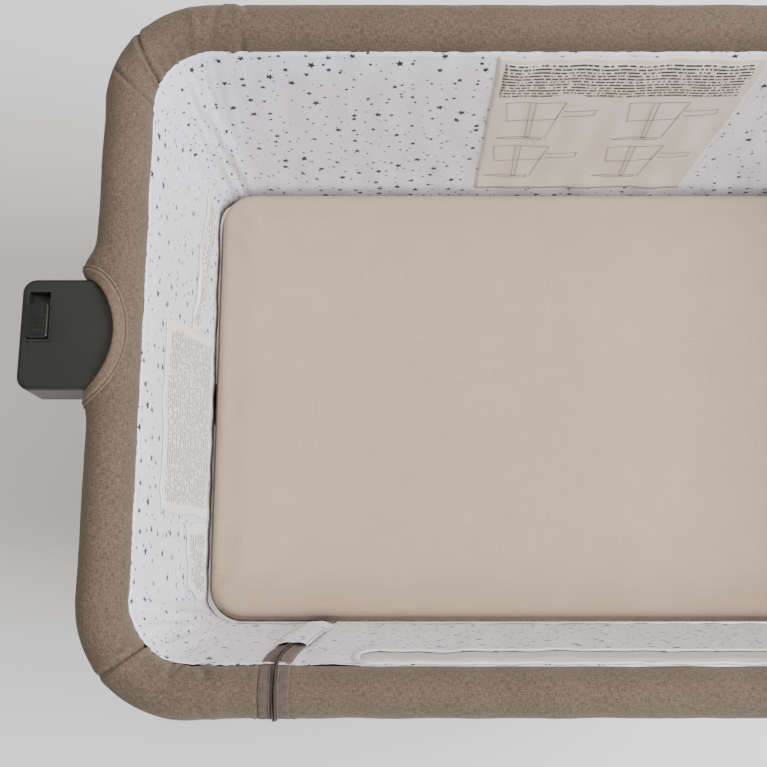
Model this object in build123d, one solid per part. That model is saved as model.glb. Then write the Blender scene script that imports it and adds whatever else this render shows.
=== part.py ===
from build123d import *
import math
import os

# Bedside bassinet on a two-legged, height-adjustable stand.  Millimetres, +Z up, +X along the
# bassinet, +Y towards the fixed side, -Y towards the side that folds down.  The origin is on the
# floor, midway along and midway across the feet.

# Mattress and base
MATTRESS_LENGTH = 830.0
MATTRESS_WIDTH = 500.0
MATTRESS_THICKNESS = 45.0
MATTRESS_CORNER_R = 40.0
MATTRESS_EDGE_R = 9.0
SHEET_THICKNESS = 0.8
SHEET_GAP = 0.1
BOARD_THICKNESS = 9.0
BOARD_GAP = 1.0
BASE_TUBE = 20.0
BASE_TUBE_WALL = 1.5
BASE_TUBE_INSET = 22.0

# Top rail and padded sleeve
RAIL_HEIGHT = 661.0
RAIL_ABOVE_MATTRESS = 255.0
RAIL_TUBE_R = 11.0
RAIL_TUBE_WALL = 1.5
RAIL_BEND_R = 75.0
SLEEVE_R = 21.5
SLEEVE_GAP = 0.3
END_SPREAD = 15.0
SIDE_SPREAD = 24.5
JOINER_LENGTH = 80.0
JOINER_CLEARANCE = 0.1
CUTOUT_CHORD = 105.0
CUTOUT_DEPTH = 25.0

# Fabric walls
WALL_THICKNESS = 3.0
WALL_TO_MATTRESS = 1.4
WALL_TO_SLEEVE = 0.6

# Fold-down side
DROP_INSET = 166.0
DROP_GAP = 0.6
PLUG_LENGTH = 10.0
ZIP_TAPE_WIDTH = 12.5
ZIP_THICKNESS = 1.2
ZIP_SHORT = 1.0
ARM_THICKNESS = 4.0
ARM_WIDTH = 16.0
ARM_INSET = 22.0
ARM_EYE_R = 9.0
HINGE_OUTSET = 46.0
HINGE_DROP = 16.0
HINGE_PIN_R = 3.0
HINGE_CLEARANCE = 0.05
BRACKET_WIDTH = 10.0
PANEL_LIFT = 4.0

# Leg housing under the release button
HOUSING_OVERHANG = 59.0
HOUSING_HALF_WIDTH = 49.0
HOUSING_INBOARD = 33.0
HOUSING_TOP_DROP = 7.5
HOUSING_SIDE_HEIGHT = 44.0
HOUSING_HEIGHT = 96.0
HOUSING_FOOT_HALF_WIDTH = 38.0
HOUSING_ROOF = 7.5
HOUSING_PLUG = 7.5
HOUSING_CORNER_R = 12.0
HOUSING_TOP_R = 3.5
COVER_DEPTH = 9.0
COVER_GAP = 0.15
SCREW_SINK = 3.0
SCREW_R = 2.0
SCREW_HEAD_R = 3.6
SCREW_HEAD = 2.4
SCREW_LENGTH = 18.0

# Release button, strap and latch pin
BUTTON_WIDTH = 17.5
BUTTON_LENGTH = 31.0
BUTTON_TRAVEL = 10.0
BUTTON_PROUD = 4.0
BUTTON_WALL = 3.0
BUTTON_GAP = 0.5
BUTTON_RIBS = 5
BUTTON_RIB_PITCH = 4.2
BUTTON_RIB_R = 0.9
BUTTON_RIB_INSET = 2.6
BUTTON_EDGE_R = 1.0
WINDOW_DEPTH = 10.0
WINDOW_FROM_END = 7.2
WINDOW_START = -5.0
WINDOW_RIM = 2.0
WINDOW_RIM_HEIGHT = 1.0
STRAP_THICKNESS = 1.2
STRAP_WIDTH = 6.0
STRAP_Y = 12.0
STRAP_FLANGE = 10.0
SPRING_R = 3.6
SPRING_WIRE_R = 0.5
SPRING_TURNS = 6
SPRING_LENGTH = 23.0
LATCH_PIN_R = 4.0
LATCH_PIN_LENGTH = 9.0
LATCH_CLEARANCE = 0.3
LATCH_TRAVEL = 6.0
HOLE_PITCH = 30.0
HOLE_COUNT = 6

# Leg tubes
UPPER_TUBE_X = 30.0
UPPER_TUBE_Y = 60.0
LEG_TUBE_GAP = 2.0
LEG_TUBE_WALL = 2.0
LEG_CORNER_SHARE = 0.45
LEG_FROM_END = 29.0
GLIDE_CLEARANCE = 0.1
GLIDE_LENGTH = 40.0
LOWER_TUBE_ABOVE_HOLES = 18.5
COLLAR_HEIGHT = 46.0
COLLAR_WALL = 5.0
COLLAR_TAB = (14.0, 26.0, 8.0)
COLLAR_ARM_WIDTH = 46.0
LATCH_BOSS_DEPTH = 8.5
LATCH_BOSS_WIDTH = 20.0
LATCH_BOSS_R = 3.0

# Feet
FOOT_REAR = 310.0
FOOT_FRONT = 380.0
FOOT_BAR_X = 38.0
FOOT_BAR_Z = 24.0
FOOT_BAR_WALL = 2.0
FOOT_CORNER_R = 8.0
PAD_HEIGHT = 6.0
CAP_WALL = 3.0
FRONT_CAP_LENGTH = 90.0
REAR_CAP_LENGTH = 55.0
CAP_END = 4.0
SOCKET_LENGTH = 96.0
SOCKET_HEIGHT = 62.0
SOCKET_WALL = 5.0
FIT = 0.1

# Derived places
RAIL_X = MATTRESS_LENGTH / 2 + END_SPREAD + SLEEVE_R
RAIL_Y = MATTRESS_WIDTH / 2 + SIDE_SPREAD + SLEEVE_R
OUTER_X = RAIL_X + SLEEVE_R
MATTRESS_TOP = RAIL_HEIGHT - RAIL_ABOVE_MATTRESS
MATTRESS_BOTTOM = MATTRESS_TOP - MATTRESS_THICKNESS
BOARD_BOTTOM = MATTRESS_BOTTOM - BOARD_THICKNESS
BASE_TUBE_Z = BOARD_BOTTOM - BASE_TUBE / 2
BASE_X = MATTRESS_LENGTH / 2 - BASE_TUBE_INSET
BASE_Y = MATTRESS_WIDTH / 2 - BASE_TUBE_INSET
DROP_X = OUTER_X - DROP_INSET
FAR_JOINT_X = RAIL_X - RAIL_BEND_R - JOINER_LENGTH
LOWER_TUBE_X = UPPER_TUBE_X - 2 * (LEG_TUBE_WALL + LEG_TUBE_GAP)
LOWER_TUBE_Y = UPPER_TUBE_Y - 2 * (LEG_TUBE_WALL + LEG_TUBE_GAP)
HOUSING_OUT = OUTER_X + HOUSING_OVERHANG
LEG_X = HOUSING_OUT - LEG_FROM_END
HOUSING_IN = OUTER_X - HOUSING_INBOARD
HOUSING_TOP = RAIL_HEIGHT + SLEEVE_R - HOUSING_TOP_DROP
COLLAR_TOP = BASE_TUBE_Z + COLLAR_HEIGHT
COLLAR_BOTTOM = BASE_TUBE_Z - BASE_TUBE / 2
LATCH_Z = COLLAR_TOP - COLLAR_HEIGHT / 4
LOWER_TUBE_TOP = LATCH_Z + (HOLE_COUNT - 1) * HOLE_PITCH + LOWER_TUBE_ABOVE_HOLES
UPPER_TUBE_BOTTOM = COLLAR_BOTTOM + COLLAR_WALL
UPPER_TUBE_TOP = HOUSING_TOP - WINDOW_DEPTH - HOUSING_ROOF
SPRING_TOP = UPPER_TUBE_TOP - HOUSING_PLUG
BUTTON_X = HOUSING_OUT - WINDOW_FROM_END - BUTTON_GAP - BUTTON_WIDTH / 2
WINDOW_LENGTH = BUTTON_LENGTH + BUTTON_TRAVEL + 2 * BUTTON_GAP
STRAP_X = LEG_X + LOWER_TUBE_X / 2 + (UPPER_TUBE_X - LOWER_TUBE_X) / 4 - LEG_TUBE_WALL / 2
HINGE_Y = -(MATTRESS_WIDTH / 2 + HINGE_OUTSET)
HINGE_Z = MATTRESS_BOTTOM - HINGE_DROP
ARM_X = DROP_X - ARM_INSET
FOOT_TOP = PAD_HEIGHT + FOOT_BAR_Z
BASSINET_Y = (FOOT_FRONT - FOOT_REAR) / 2
END_SIGN = {"left": -1, "right": 1}
LONG = 4000.0
OVERSHOOT = 1.0
NEARBY = 1.0


def box_between(low, high):
    """A box from its lowest to its highest corner."""
    size = [h - l for l, h in zip(low, high)]
    centre = [(h + l) / 2 for l, h in zip(low, high)]
    return Pos(*centre) * Box(*size)


def rod(axis, start, end, radius, across):
    """A round bar along X, Y or Z, from start to end; across is its place on the other two axes."""
    length = end - start
    middle = (start + end) / 2
    if axis == "X":
        return Pos(middle, across[0], across[1]) * Rot(0, 90, 0) * Cylinder(radius, length)
    if axis == "Y":
        return Pos(across[0], middle, across[1]) * Rot(90, 0, 0) * Cylinder(radius, length)
    return Pos(across[0], across[1], middle) * Cylinder(radius, length)


def oval_prism(centre_x, size_x, size_y, bottom, top):
    """An upright prism with the legs' rounded, flat-sided section."""
    section = RectangleRounded(size_x, size_y, size_x * LEG_CORNER_SHARE)
    return Pos(centre_x, 0, bottom) * extrude(section, top - bottom)


def oval_tube(centre_x, size_x, size_y, wall, bottom, top):
    """An open-ended upright tube with the legs' section."""
    outer = oval_prism(centre_x, size_x, size_y, bottom, top)
    inner = oval_prism(centre_x, size_x - 2 * wall, size_y - 2 * wall, bottom - wall, top + wall)
    return outer - inner


def rail_ring(radius):
    """A closed ring of the top rail's plan shape and the given round section."""
    plan = Plane.XY.offset(RAIL_HEIGHT)
    outline = plan * RectangleRounded(2 * RAIL_X, 2 * RAIL_Y, RAIL_BEND_R)
    path = outline.wire()
    start = Plane(origin=path @ 0, z_dir=path % 0)
    return sweep(start * Circle(radius), path=path)


def end_zone(sign, near_x, far_x):
    """The space that holds one end of the rail: to near_x on the near side, far_x on the far."""
    near = box_between((near_x, -LONG, -LONG), (LONG, 0, LONG))
    far = box_between((far_x, 0, -LONG), (LONG, LONG, LONG))
    zone = near + far
    return zone if sign > 0 else mirror(zone, Plane.YZ)


def straight_tube(half_length, y, outer_r, inner_r):
    """A round tube along X, centred, at the rail's height."""
    outer = rod("X", -half_length, half_length, outer_r, (y, RAIL_HEIGHT))
    return outer - rod("X", -half_length - OVERSHOOT, half_length + OVERSHOOT, inner_r, (y, RAIL_HEIGHT))


def sign_x(shape, sign):
    """Returns a shape made for the +X end, or its mirror image for the -X end."""
    return shape if sign > 0 else mirror(shape, Plane.YZ)


def housing_blank():
    """The outer shape of the +X leg housing and its cover, before they are split and hollowed."""
    side = HOUSING_TOP - HOUSING_SIDE_HEIGHT
    foot = HOUSING_TOP - HOUSING_HEIGHT
    points = [
        (-HOUSING_HALF_WIDTH, HOUSING_TOP),
        (HOUSING_HALF_WIDTH, HOUSING_TOP),
        (HOUSING_HALF_WIDTH, side),
        (HOUSING_FOOT_HALF_WIDTH, foot),
        (-HOUSING_FOOT_HALF_WIDTH, foot),
        (-HOUSING_HALF_WIDTH, side),
    ]
    profile = Plane.YZ.offset(HOUSING_IN) * make_face(Polyline(*points, close=True))
    blank = extrude(profile, HOUSING_OUT - HOUSING_IN)
    outer_edges = blank.edges().filter_by_position(Axis.X, HOUSING_OUT - NEARBY, HOUSING_OUT + NEARBY)
    upright = outer_edges.filter_by(Axis.Z)
    blank = fillet(upright, HOUSING_CORNER_R)
    slanted = blank.edges().filter_by_position(Axis.X, HOUSING_OUT - NEARBY, HOUSING_OUT + NEARBY)
    slanted = slanted.filter_by_position(Axis.Z, foot - NEARBY, foot + NEARBY)
    blank = fillet(slanted, HOUSING_TOP_R)
    return fillet(blank.faces().sort_by(Axis.Z)[-1].edges(), HOUSING_TOP_R)


def housing_window():
    """The recess in the +X housing's top that the release button slides in."""
    half = BUTTON_WIDTH / 2 + BUTTON_GAP
    low = (BUTTON_X - half, WINDOW_START, HOUSING_TOP - WINDOW_DEPTH)
    high = (BUTTON_X + half, WINDOW_START + WINDOW_LENGTH, HOUSING_TOP + WINDOW_DEPTH)
    return box_between(low, high)


def housing_rim():
    """The low raised frame round the button's recess."""
    half = BUTTON_WIDTH / 2 + BUTTON_GAP + WINDOW_RIM
    middle = WINDOW_START + WINDOW_LENGTH / 2
    section = RectangleRounded(2 * half, WINDOW_LENGTH + 2 * WINDOW_RIM, WINDOW_RIM)
    base = HOUSING_TOP - WINDOW_RIM_HEIGHT
    return Pos(BUTTON_X, middle, base) * extrude(section, 2 * WINDOW_RIM_HEIGHT)


def strap_slot():
    """The passage for the release strap down through the housing's roof."""
    reach = STRAP_THICKNESS / 2 + LATCH_CLEARANCE
    side = STRAP_WIDTH / 2 + LATCH_CLEARANCE
    low = (STRAP_X - reach, STRAP_Y - side, UPPER_TUBE_TOP - HOUSING_HEIGHT)
    high = (STRAP_X + reach, STRAP_Y + side, HOUSING_TOP)
    return box_between(low, high)


def screw_places():
    """Y and Z of the four screws that hold each housing's cover."""
    upper = HOUSING_TOP - HOUSING_CORNER_R
    lower = HOUSING_TOP - HOUSING_HEIGHT + HOUSING_CORNER_R
    inner = HOUSING_FOOT_HALF_WIDTH - HOUSING_CORNER_R / 2
    outer = HOUSING_HALF_WIDTH - HOUSING_CORNER_R / 2
    return [(-outer, upper), (outer, upper), (-inner, lower), (inner, lower)]


def screw(y, z, clearance=0.0):
    """One cover screw, driven from the outer end; with a clearance it is its own hole."""
    head_end = HOUSING_OUT - SCREW_SINK
    shank_end = head_end - SCREW_HEAD
    head = rod("X", shank_end, head_end, SCREW_HEAD_R + clearance, (y, z))
    shank = rod("X", shank_end - SCREW_LENGTH, shank_end, SCREW_R + clearance, (y, z))
    return head + shank


def screw_hole(y, z):
    """The counterbored hole for one cover screw, open to the outer end."""
    head_end = HOUSING_OUT - SCREW_SINK
    mouth = rod("X", head_end, HOUSING_OUT + OVERSHOOT, SCREW_HEAD_R + FIT, (y, z))
    return screw(y, z, FIT) + mouth


def housing_parts():
    """The +X housing and its outer cover, split on a plane across the bassinet."""
    shape = housing_blank() + housing_rim()
    shape -= housing_window()
    shape -= strap_slot()
    socket = oval_prism(LEG_X, UPPER_TUBE_X + 2 * FIT, UPPER_TUBE_Y + 2 * FIT, 0, UPPER_TUBE_TOP)
    plug = oval_prism(
        LEG_X,
        UPPER_TUBE_X - 2 * LEG_TUBE_WALL - 2 * FIT,
        UPPER_TUBE_Y - 2 * LEG_TUBE_WALL - 2 * FIT,
        SPRING_TOP,
        UPPER_TUBE_TOP,
    )
    shape -= socket
    shape += plug - strap_slot()
    shape -= rod("Y", -LONG, LONG, RAIL_TUBE_R + FIT, (RAIL_X, RAIL_HEIGHT))
    for y, z in screw_places():
        shape -= screw_hole(y, z)
    split = HOUSING_OUT - COVER_DEPTH
    body = shape & box_between((0, -LONG, -LONG), (split, LONG, LONG))
    cover = shape & box_between((split + COVER_GAP, -LONG, -LONG), (LONG, LONG, LONG))
    return largest(body), largest(cover)


def largest(shape):
    """The largest solid of a shape, as one solid."""
    return sorted(shape.solids(), key=lambda item: item.volume)[-1]


def release_button():
    """The +X end's ribbed slide button, hollow underneath."""
    start = WINDOW_START + BUTTON_GAP
    bottom = HOUSING_TOP - WINDOW_DEPTH + BUTTON_GAP
    top = HOUSING_TOP + BUTTON_PROUD
    half = BUTTON_WIDTH / 2
    block = box_between((BUTTON_X - half, start, bottom), (BUTTON_X + half, start + BUTTON_LENGTH, top))
    block = fillet(block.edges().filter_by(Axis.Z), BUTTON_WALL)
    block = fillet(block.faces().sort_by(Axis.Z)[-1].edges(), BUTTON_EDGE_R)
    hollow_low = (BUTTON_X - half + BUTTON_WALL, start + BUTTON_WALL, bottom - OVERSHOOT)
    hollow_high = (BUTTON_X + half - BUTTON_WALL, start + BUTTON_LENGTH - BUTTON_WALL, top - BUTTON_WALL)
    block -= box_between(hollow_low, hollow_high)
    middle = start + BUTTON_LENGTH / 2
    reach = half - BUTTON_RIB_INSET
    for index in range(BUTTON_RIBS):
        y = middle + (index - (BUTTON_RIBS - 1) / 2) * BUTTON_RIB_PITCH
        block += rod("X", BUTTON_X - reach, BUTTON_X + reach, BUTTON_RIB_R, (y, top))
    return block


def release_strap():
    """The flat steel strap that carries the +X button's pull down to the latch."""
    half = STRAP_THICKNESS / 2
    low = (STRAP_X - half, STRAP_Y - STRAP_WIDTH / 2, LATCH_Z + LATCH_PIN_R + 2 * LATCH_CLEARANCE)
    high = (STRAP_X + half, STRAP_Y + STRAP_WIDTH / 2, HOUSING_TOP - WINDOW_DEPTH)
    strap = box_between(low, high)
    flange_top = SPRING_TOP - SPRING_LENGTH - LATCH_CLEARANCE
    flange_low = (STRAP_X - half - STRAP_FLANGE, STRAP_Y - STRAP_WIDTH / 2, flange_top - STRAP_THICKNESS)
    return strap + box_between(flange_low, (STRAP_X, STRAP_Y + STRAP_WIDTH / 2, flange_top))


def return_spring():
    """The small coil spring that pushes the +X strap back down."""
    height = SPRING_LENGTH - 2 * SPRING_WIRE_R - LATCH_CLEARANCE
    helix = Helix(height / SPRING_TURNS, height, SPRING_R)
    start = Plane(origin=helix @ 0, z_dir=helix % 0)
    coil = sweep(start * Circle(SPRING_WIRE_R), path=helix, is_frenet=True)
    base = SPRING_TOP - SPRING_LENGTH + SPRING_WIRE_R
    return Pos(STRAP_X - SPRING_R - 2 * STRAP_THICKNESS, STRAP_Y, base) * coil


def latch_pin():
    """The +X latch pin, which slides outwards clear of the lower tube."""
    tip = LEG_X + LOWER_TUBE_X / 2 + LATCH_CLEARANCE
    pin = rod("X", tip, tip + LATCH_PIN_LENGTH, LATCH_PIN_R, (STRAP_Y, LATCH_Z))
    return chamfer(pin.edges(), LATCH_CLEARANCE)


def leg_collar():
    """The +X collar at the upper tube's lower end, with its arm to the base frame and its tab."""
    outer_x = UPPER_TUBE_X + 2 * COLLAR_WALL
    outer_y = UPPER_TUBE_Y + 2 * COLLAR_WALL
    collar = oval_prism(LEG_X, outer_x, outer_y, COLLAR_BOTTOM, COLLAR_TOP)
    boss_end = LEG_X + outer_x / 2 + LATCH_BOSS_DEPTH
    boss_half = LATCH_BOSS_WIDTH / 2
    boss = box_between(
        (LEG_X, STRAP_Y - boss_half, LATCH_Z - boss_half),
        (boss_end, STRAP_Y + boss_half, LATCH_Z + boss_half),
    )
    boss = fillet(boss.edges().filter_by(Axis.X), LATCH_BOSS_R)
    arm_inner = BASE_X + BASE_TUBE / 2
    arm = box_between(
        (arm_inner, -COLLAR_ARM_WIDTH / 2, COLLAR_BOTTOM),
        (LEG_X, COLLAR_ARM_WIDTH / 2, BASE_TUBE_Z + BASE_TUBE / 2),
    )
    tab_x, tab_y, tab_z = COLLAR_TAB
    tab = box_between(
        (LEG_X - tab_x / 2, -outer_y / 2 - tab_y, COLLAR_BOTTOM + COLLAR_WALL),
        (LEG_X + tab_x / 2, 0, COLLAR_BOTTOM + COLLAR_WALL + tab_z),
    )
    collar = collar + boss + arm + tab
    collar -= oval_prism(LEG_X, UPPER_TUBE_X + 2 * FIT, UPPER_TUBE_Y + 2 * FIT, UPPER_TUBE_BOTTOM, LONG)
    bore_x = LOWER_TUBE_X + 2 * GLIDE_CLEARANCE
    bore_y = LOWER_TUBE_Y + 2 * GLIDE_CLEARANCE
    collar -= oval_prism(LEG_X, bore_x, bore_y, 0, LONG)
    pocket_r = LATCH_PIN_R + LATCH_CLEARANCE
    pocket_end = LEG_X + LOWER_TUBE_X / 2 + LATCH_PIN_LENGTH + LATCH_TRAVEL + 2 * LATCH_CLEARANCE
    collar -= rod("X", LEG_X, pocket_end, pocket_r, (STRAP_Y, LATCH_Z))
    return collar


def upper_tube():
    """The +X upper leg tube, which moves with the bassinet."""
    tube = oval_tube(LEG_X, UPPER_TUBE_X, UPPER_TUBE_Y, LEG_TUBE_WALL, UPPER_TUBE_BOTTOM, UPPER_TUBE_TOP)
    hole = rod("X", LEG_X, LEG_X + UPPER_TUBE_X, LATCH_PIN_R + LATCH_CLEARANCE, (STRAP_Y, LATCH_Z))
    return tube - hole


def lower_tube():
    """The +X lower leg tube, with its row of height holes."""
    tube = oval_tube(LEG_X, LOWER_TUBE_X, LOWER_TUBE_Y, LEG_TUBE_WALL, FOOT_TOP, LOWER_TUBE_TOP)
    for index in range(HOLE_COUNT):
        across = (STRAP_Y, LATCH_Z + index * HOLE_PITCH)
        tube -= rod("X", LEG_X, LEG_X + LOWER_TUBE_X, LATCH_PIN_R + LATCH_CLEARANCE, across)
    return tube


def glide_cap():
    """The plastic glide plugged into the top of the +X lower tube."""
    wide_x = UPPER_TUBE_X - 2 * LEG_TUBE_WALL - 2 * GLIDE_CLEARANCE
    wide_y = UPPER_TUBE_Y - 2 * LEG_TUBE_WALL - 2 * GLIDE_CLEARANCE
    plug_x = LOWER_TUBE_X - 2 * LEG_TUBE_WALL - 2 * FIT
    plug_y = LOWER_TUBE_Y - 2 * LEG_TUBE_WALL - 2 * FIT
    cap = oval_prism(LEG_X, wide_x, wide_y, LOWER_TUBE_TOP, LOWER_TUBE_TOP + GLIDE_LENGTH / 4)
    cap += oval_prism(LEG_X, plug_x, plug_y, LOWER_TUBE_TOP - GLIDE_LENGTH, LOWER_TUBE_TOP)
    reach = STRAP_THICKNESS / 2 + LATCH_CLEARANCE
    side = STRAP_WIDTH / 2 + LATCH_CLEARANCE
    groove = box_between((STRAP_X - reach, STRAP_Y - side, 0), (LONG, STRAP_Y + side, LONG))
    return cap - groove


def foot_section(extra=0.0):
    """The foot bar's rounded section, grown by extra on every side."""
    size_x = FOOT_BAR_X + 2 * extra
    size_z = FOOT_BAR_Z + 2 * extra
    return RectangleRounded(size_x, size_z, FOOT_CORNER_R + extra)


def foot_prism(extra, start, end):
    """The foot bar's section drawn out along Y at the +X leg."""
    place = Plane(origin=(LEG_X, start, PAD_HEIGHT + FOOT_BAR_Z / 2), x_dir=(1, 0, 0), z_dir=(0, 1, 0))
    return extrude(place * foot_section(extra), end - start)


def foot_bar():
    """The +X foot bar, a flat-sided tube on the floor pads."""
    start = -FOOT_FRONT + CAP_END
    end = FOOT_REAR - CAP_END
    bar = foot_prism(0, start, end)
    origin = (LEG_X, start - OVERSHOOT, PAD_HEIGHT + FOOT_BAR_Z / 2)
    hollow = Plane(origin=origin, x_dir=(1, 0, 0), z_dir=(0, 1, 0))
    inner = RectangleRounded(
        FOOT_BAR_X - 2 * FOOT_BAR_WALL, FOOT_BAR_Z - 2 * FOOT_BAR_WALL, FOOT_CORNER_R - FOOT_BAR_WALL
    )
    return bar - extrude(hollow * inner, end - start + 2 * OVERSHOOT)


def foot_caps():
    """The two moulded caps that close the +X foot bar, a long one in front and a short one behind."""
    spans = [(-FOOT_FRONT, -FOOT_FRONT + FRONT_CAP_LENGTH), (FOOT_REAR - REAR_CAP_LENGTH, FOOT_REAR)]
    caps = []
    for start, end in spans:
        cap = foot_prism(CAP_WALL, start, end)
        cap = cap & box_between((0, start, PAD_HEIGHT - CAP_WALL), (LONG, end, LONG))
        cap -= foot_prism(FIT, -FOOT_FRONT + CAP_END - FIT, FOOT_REAR - CAP_END + FIT)
        caps.append(largest(cap))
    return Compound(caps)


def foot_pads():
    """The soft floor pads under the +X foot bar's caps."""
    pads = []
    spans = [(-FOOT_FRONT, -FOOT_FRONT + FRONT_CAP_LENGTH), (FOOT_REAR - REAR_CAP_LENGTH, FOOT_REAR)]
    for start, end in spans:
        inset = CAP_END
        height = PAD_HEIGHT - CAP_WALL
        section = RectangleRounded(FOOT_BAR_X, end - start - 2 * inset, FOOT_CORNER_R)
        pads.append(Pos(LEG_X, (start + end) / 2, 0) * extrude(section, height))
    return Compound(pads)


def foot_socket():
    """The moulded socket that joins the +X lower tube to its foot bar."""
    outer_x = LOWER_TUBE_X + 2 * SOCKET_WALL
    outer_y = LOWER_TUBE_Y + 2 * SOCKET_WALL
    half = SOCKET_LENGTH / 2
    saddle = foot_prism(SOCKET_WALL, -half, half)
    saddle = saddle & box_between((0, -half, PAD_HEIGHT), (LONG, half, LONG))
    socket = saddle + oval_prism(LEG_X, outer_x, outer_y, PAD_HEIGHT, SOCKET_HEIGHT)
    socket -= foot_prism(FIT, -LONG / 2, LONG / 2)
    bore_x = LOWER_TUBE_X + 2 * FIT
    bore_y = LOWER_TUBE_Y + 2 * FIT
    socket -= oval_prism(LEG_X, bore_x, bore_y, FOOT_TOP - OVERSHOOT, LONG)
    return largest(socket)


def wall_tub(offset, top, bottom):
    """A solid tub of the lining's outline, grown by offset, between two heights."""
    behind_sleeve = WALL_THICKNESS + WALL_TO_SLEEVE
    levels = (
        (MATTRESS_BOTTOM, WALL_TO_MATTRESS, WALL_TO_MATTRESS),
        (RAIL_HEIGHT, END_SPREAD - behind_sleeve, SIDE_SPREAD - behind_sleeve),
    )
    sections = []
    for height, end_spread, side_spread in levels:
        size_x = MATTRESS_LENGTH + 2 * (end_spread + offset)
        size_y = MATTRESS_WIDTH + 2 * (side_spread + offset)
        outline = RectangleRounded(size_x, size_y, MATTRESS_CORNER_R + end_spread + offset)
        sections.append(Plane.XY.offset(height) * outline)
    tub = loft(sections, ruled=True)
    return tub & box_between((-LONG, -LONG, bottom), (LONG, LONG, top))


def wall_shell():
    """The whole fabric wall of the bassinet, all the way round."""
    outside = wall_tub(WALL_THICKNESS, RAIL_HEIGHT, MATTRESS_BOTTOM)
    return outside - wall_tub(0, RAIL_HEIGHT + OVERSHOOT, MATTRESS_BOTTOM - OVERSHOOT)


def wall_nodes():
    """The fabric wall cut into straight panels, corners and the fold-down panel."""
    shell = wall_shell()
    corner_x = MATTRESS_LENGTH / 2 - MATTRESS_CORNER_R
    corner_y = MATTRESS_WIDTH / 2 - MATTRESS_CORNER_R
    zones = {
        "far_wall": ((-corner_x, 0), (corner_x, LONG)),
        "left_wall": ((-LONG, -corner_y), (0, corner_y)),
        "right_wall": ((0, -corner_y), (LONG, corner_y)),
        "far_left_corner_wall": ((-LONG, corner_y), (-corner_x, LONG)),
        "far_right_corner_wall": ((corner_x, corner_y), (LONG, LONG)),
        "near_left_corner_wall": ((-LONG, -LONG), (-DROP_X - DROP_GAP, -corner_y)),
        "near_right_corner_wall": ((DROP_X + DROP_GAP, -LONG), (LONG, -corner_y)),
    }
    nodes = {}
    for name, (low, high) in zones.items():
        zone = box_between((low[0], low[1], -LONG), (high[0], high[1], LONG))
        nodes[name] = largest(shell & zone)
    reach = DROP_X - DROP_GAP
    bottom = MATTRESS_BOTTOM + PANEL_LIFT
    zone = box_between((-reach, -LONG, bottom), (reach, -corner_y, LONG))
    nodes["drop_panel"] = largest(shell & zone)
    return nodes


def sleeve_nodes():
    """The padded sleeves round the top rail: two ends, the far side and the fold-down side."""
    ring = rail_ring(SLEEVE_R) - rail_ring(RAIL_TUBE_R + SLEEVE_GAP)
    housing = housing_blank()
    arc_r = (CUTOUT_CHORD**2 / 4 + CUTOUT_DEPTH**2) / (2 * CUTOUT_DEPTH)
    arc_x = OUTER_X - CUTOUT_DEPTH + arc_r
    cutout = rod("Z", RAIL_HEIGHT - LONG / 2, RAIL_HEIGHT + LONG / 2, arc_r, (arc_x, 0))
    grown = box_between(
        (HOUSING_IN - SLEEVE_GAP, -HOUSING_HALF_WIDTH - SLEEVE_GAP, HOUSING_TOP - HOUSING_HEIGHT),
        (HOUSING_OUT, HOUSING_HALF_WIDTH + SLEEVE_GAP, HOUSING_TOP + SLEEVE_GAP),
    )
    nodes = {}
    for name, sign in END_SIGN.items():
        zone = end_zone(sign, DROP_X + DROP_GAP, FAR_JOINT_X)
        sleeve = (ring & zone) - sign_x(cutout + grown + housing, sign)
        nodes[f"{name}_end_sleeve"] = largest(sleeve)
    nodes["far_sleeve"] = straight_tube(FAR_JOINT_X - FIT, RAIL_Y, SLEEVE_R, RAIL_TUBE_R + SLEEVE_GAP)
    reach = DROP_X - DROP_GAP
    drop = straight_tube(reach, -RAIL_Y, SLEEVE_R, RAIL_TUBE_R + SLEEVE_GAP)
    nodes["drop_sleeve"] = drop - arm_blanks(SLEEVE_GAP)
    return nodes


def rail_nodes():
    """The steel top rail: two bent end bows, the far and drop tubes, and the far joiners."""
    ring = rail_ring(RAIL_TUBE_R) - rail_ring(RAIL_TUBE_R - RAIL_TUBE_WALL)
    nodes = {}
    for name, sign in END_SIGN.items():
        nodes[f"{name}_end_bow"] = largest(ring & end_zone(sign, DROP_X + DROP_GAP, FAR_JOINT_X))
    inner_r = RAIL_TUBE_R - RAIL_TUBE_WALL
    nodes["far_rail"] = straight_tube(FAR_JOINT_X - FIT, RAIL_Y, RAIL_TUBE_R, inner_r)
    nodes["drop_rail"] = straight_tube(DROP_X - DROP_GAP, -RAIL_Y, RAIL_TUBE_R, inner_r)
    joiners = []
    for sign in END_SIGN.values():
        joiner_r = inner_r - JOINER_CLEARANCE
        start = sign * FAR_JOINT_X - JOINER_LENGTH / 2
        joiners.append(rod("X", start, start + JOINER_LENGTH, joiner_r, (RAIL_Y, RAIL_HEIGHT)))
    nodes["rail_joiners"] = Compound(joiners)
    return nodes


def plug_nodes():
    """The plastic plugs that close the rail tubes at the zips."""
    radius = RAIL_TUBE_R - RAIL_TUBE_WALL - FIT
    nodes = {}
    spans = {
        "bow_end_plugs": (DROP_X + DROP_GAP, DROP_X + DROP_GAP + PLUG_LENGTH),
        "drop_rail_plugs": (DROP_X - DROP_GAP - PLUG_LENGTH, DROP_X - DROP_GAP),
    }
    for name, (low, high) in spans.items():
        plug = rod("X", low, high, radius, (-RAIL_Y, RAIL_HEIGHT))
        nodes[name] = Compound([sign_x(plug, sign) for sign in END_SIGN.values()])
    return nodes


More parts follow.
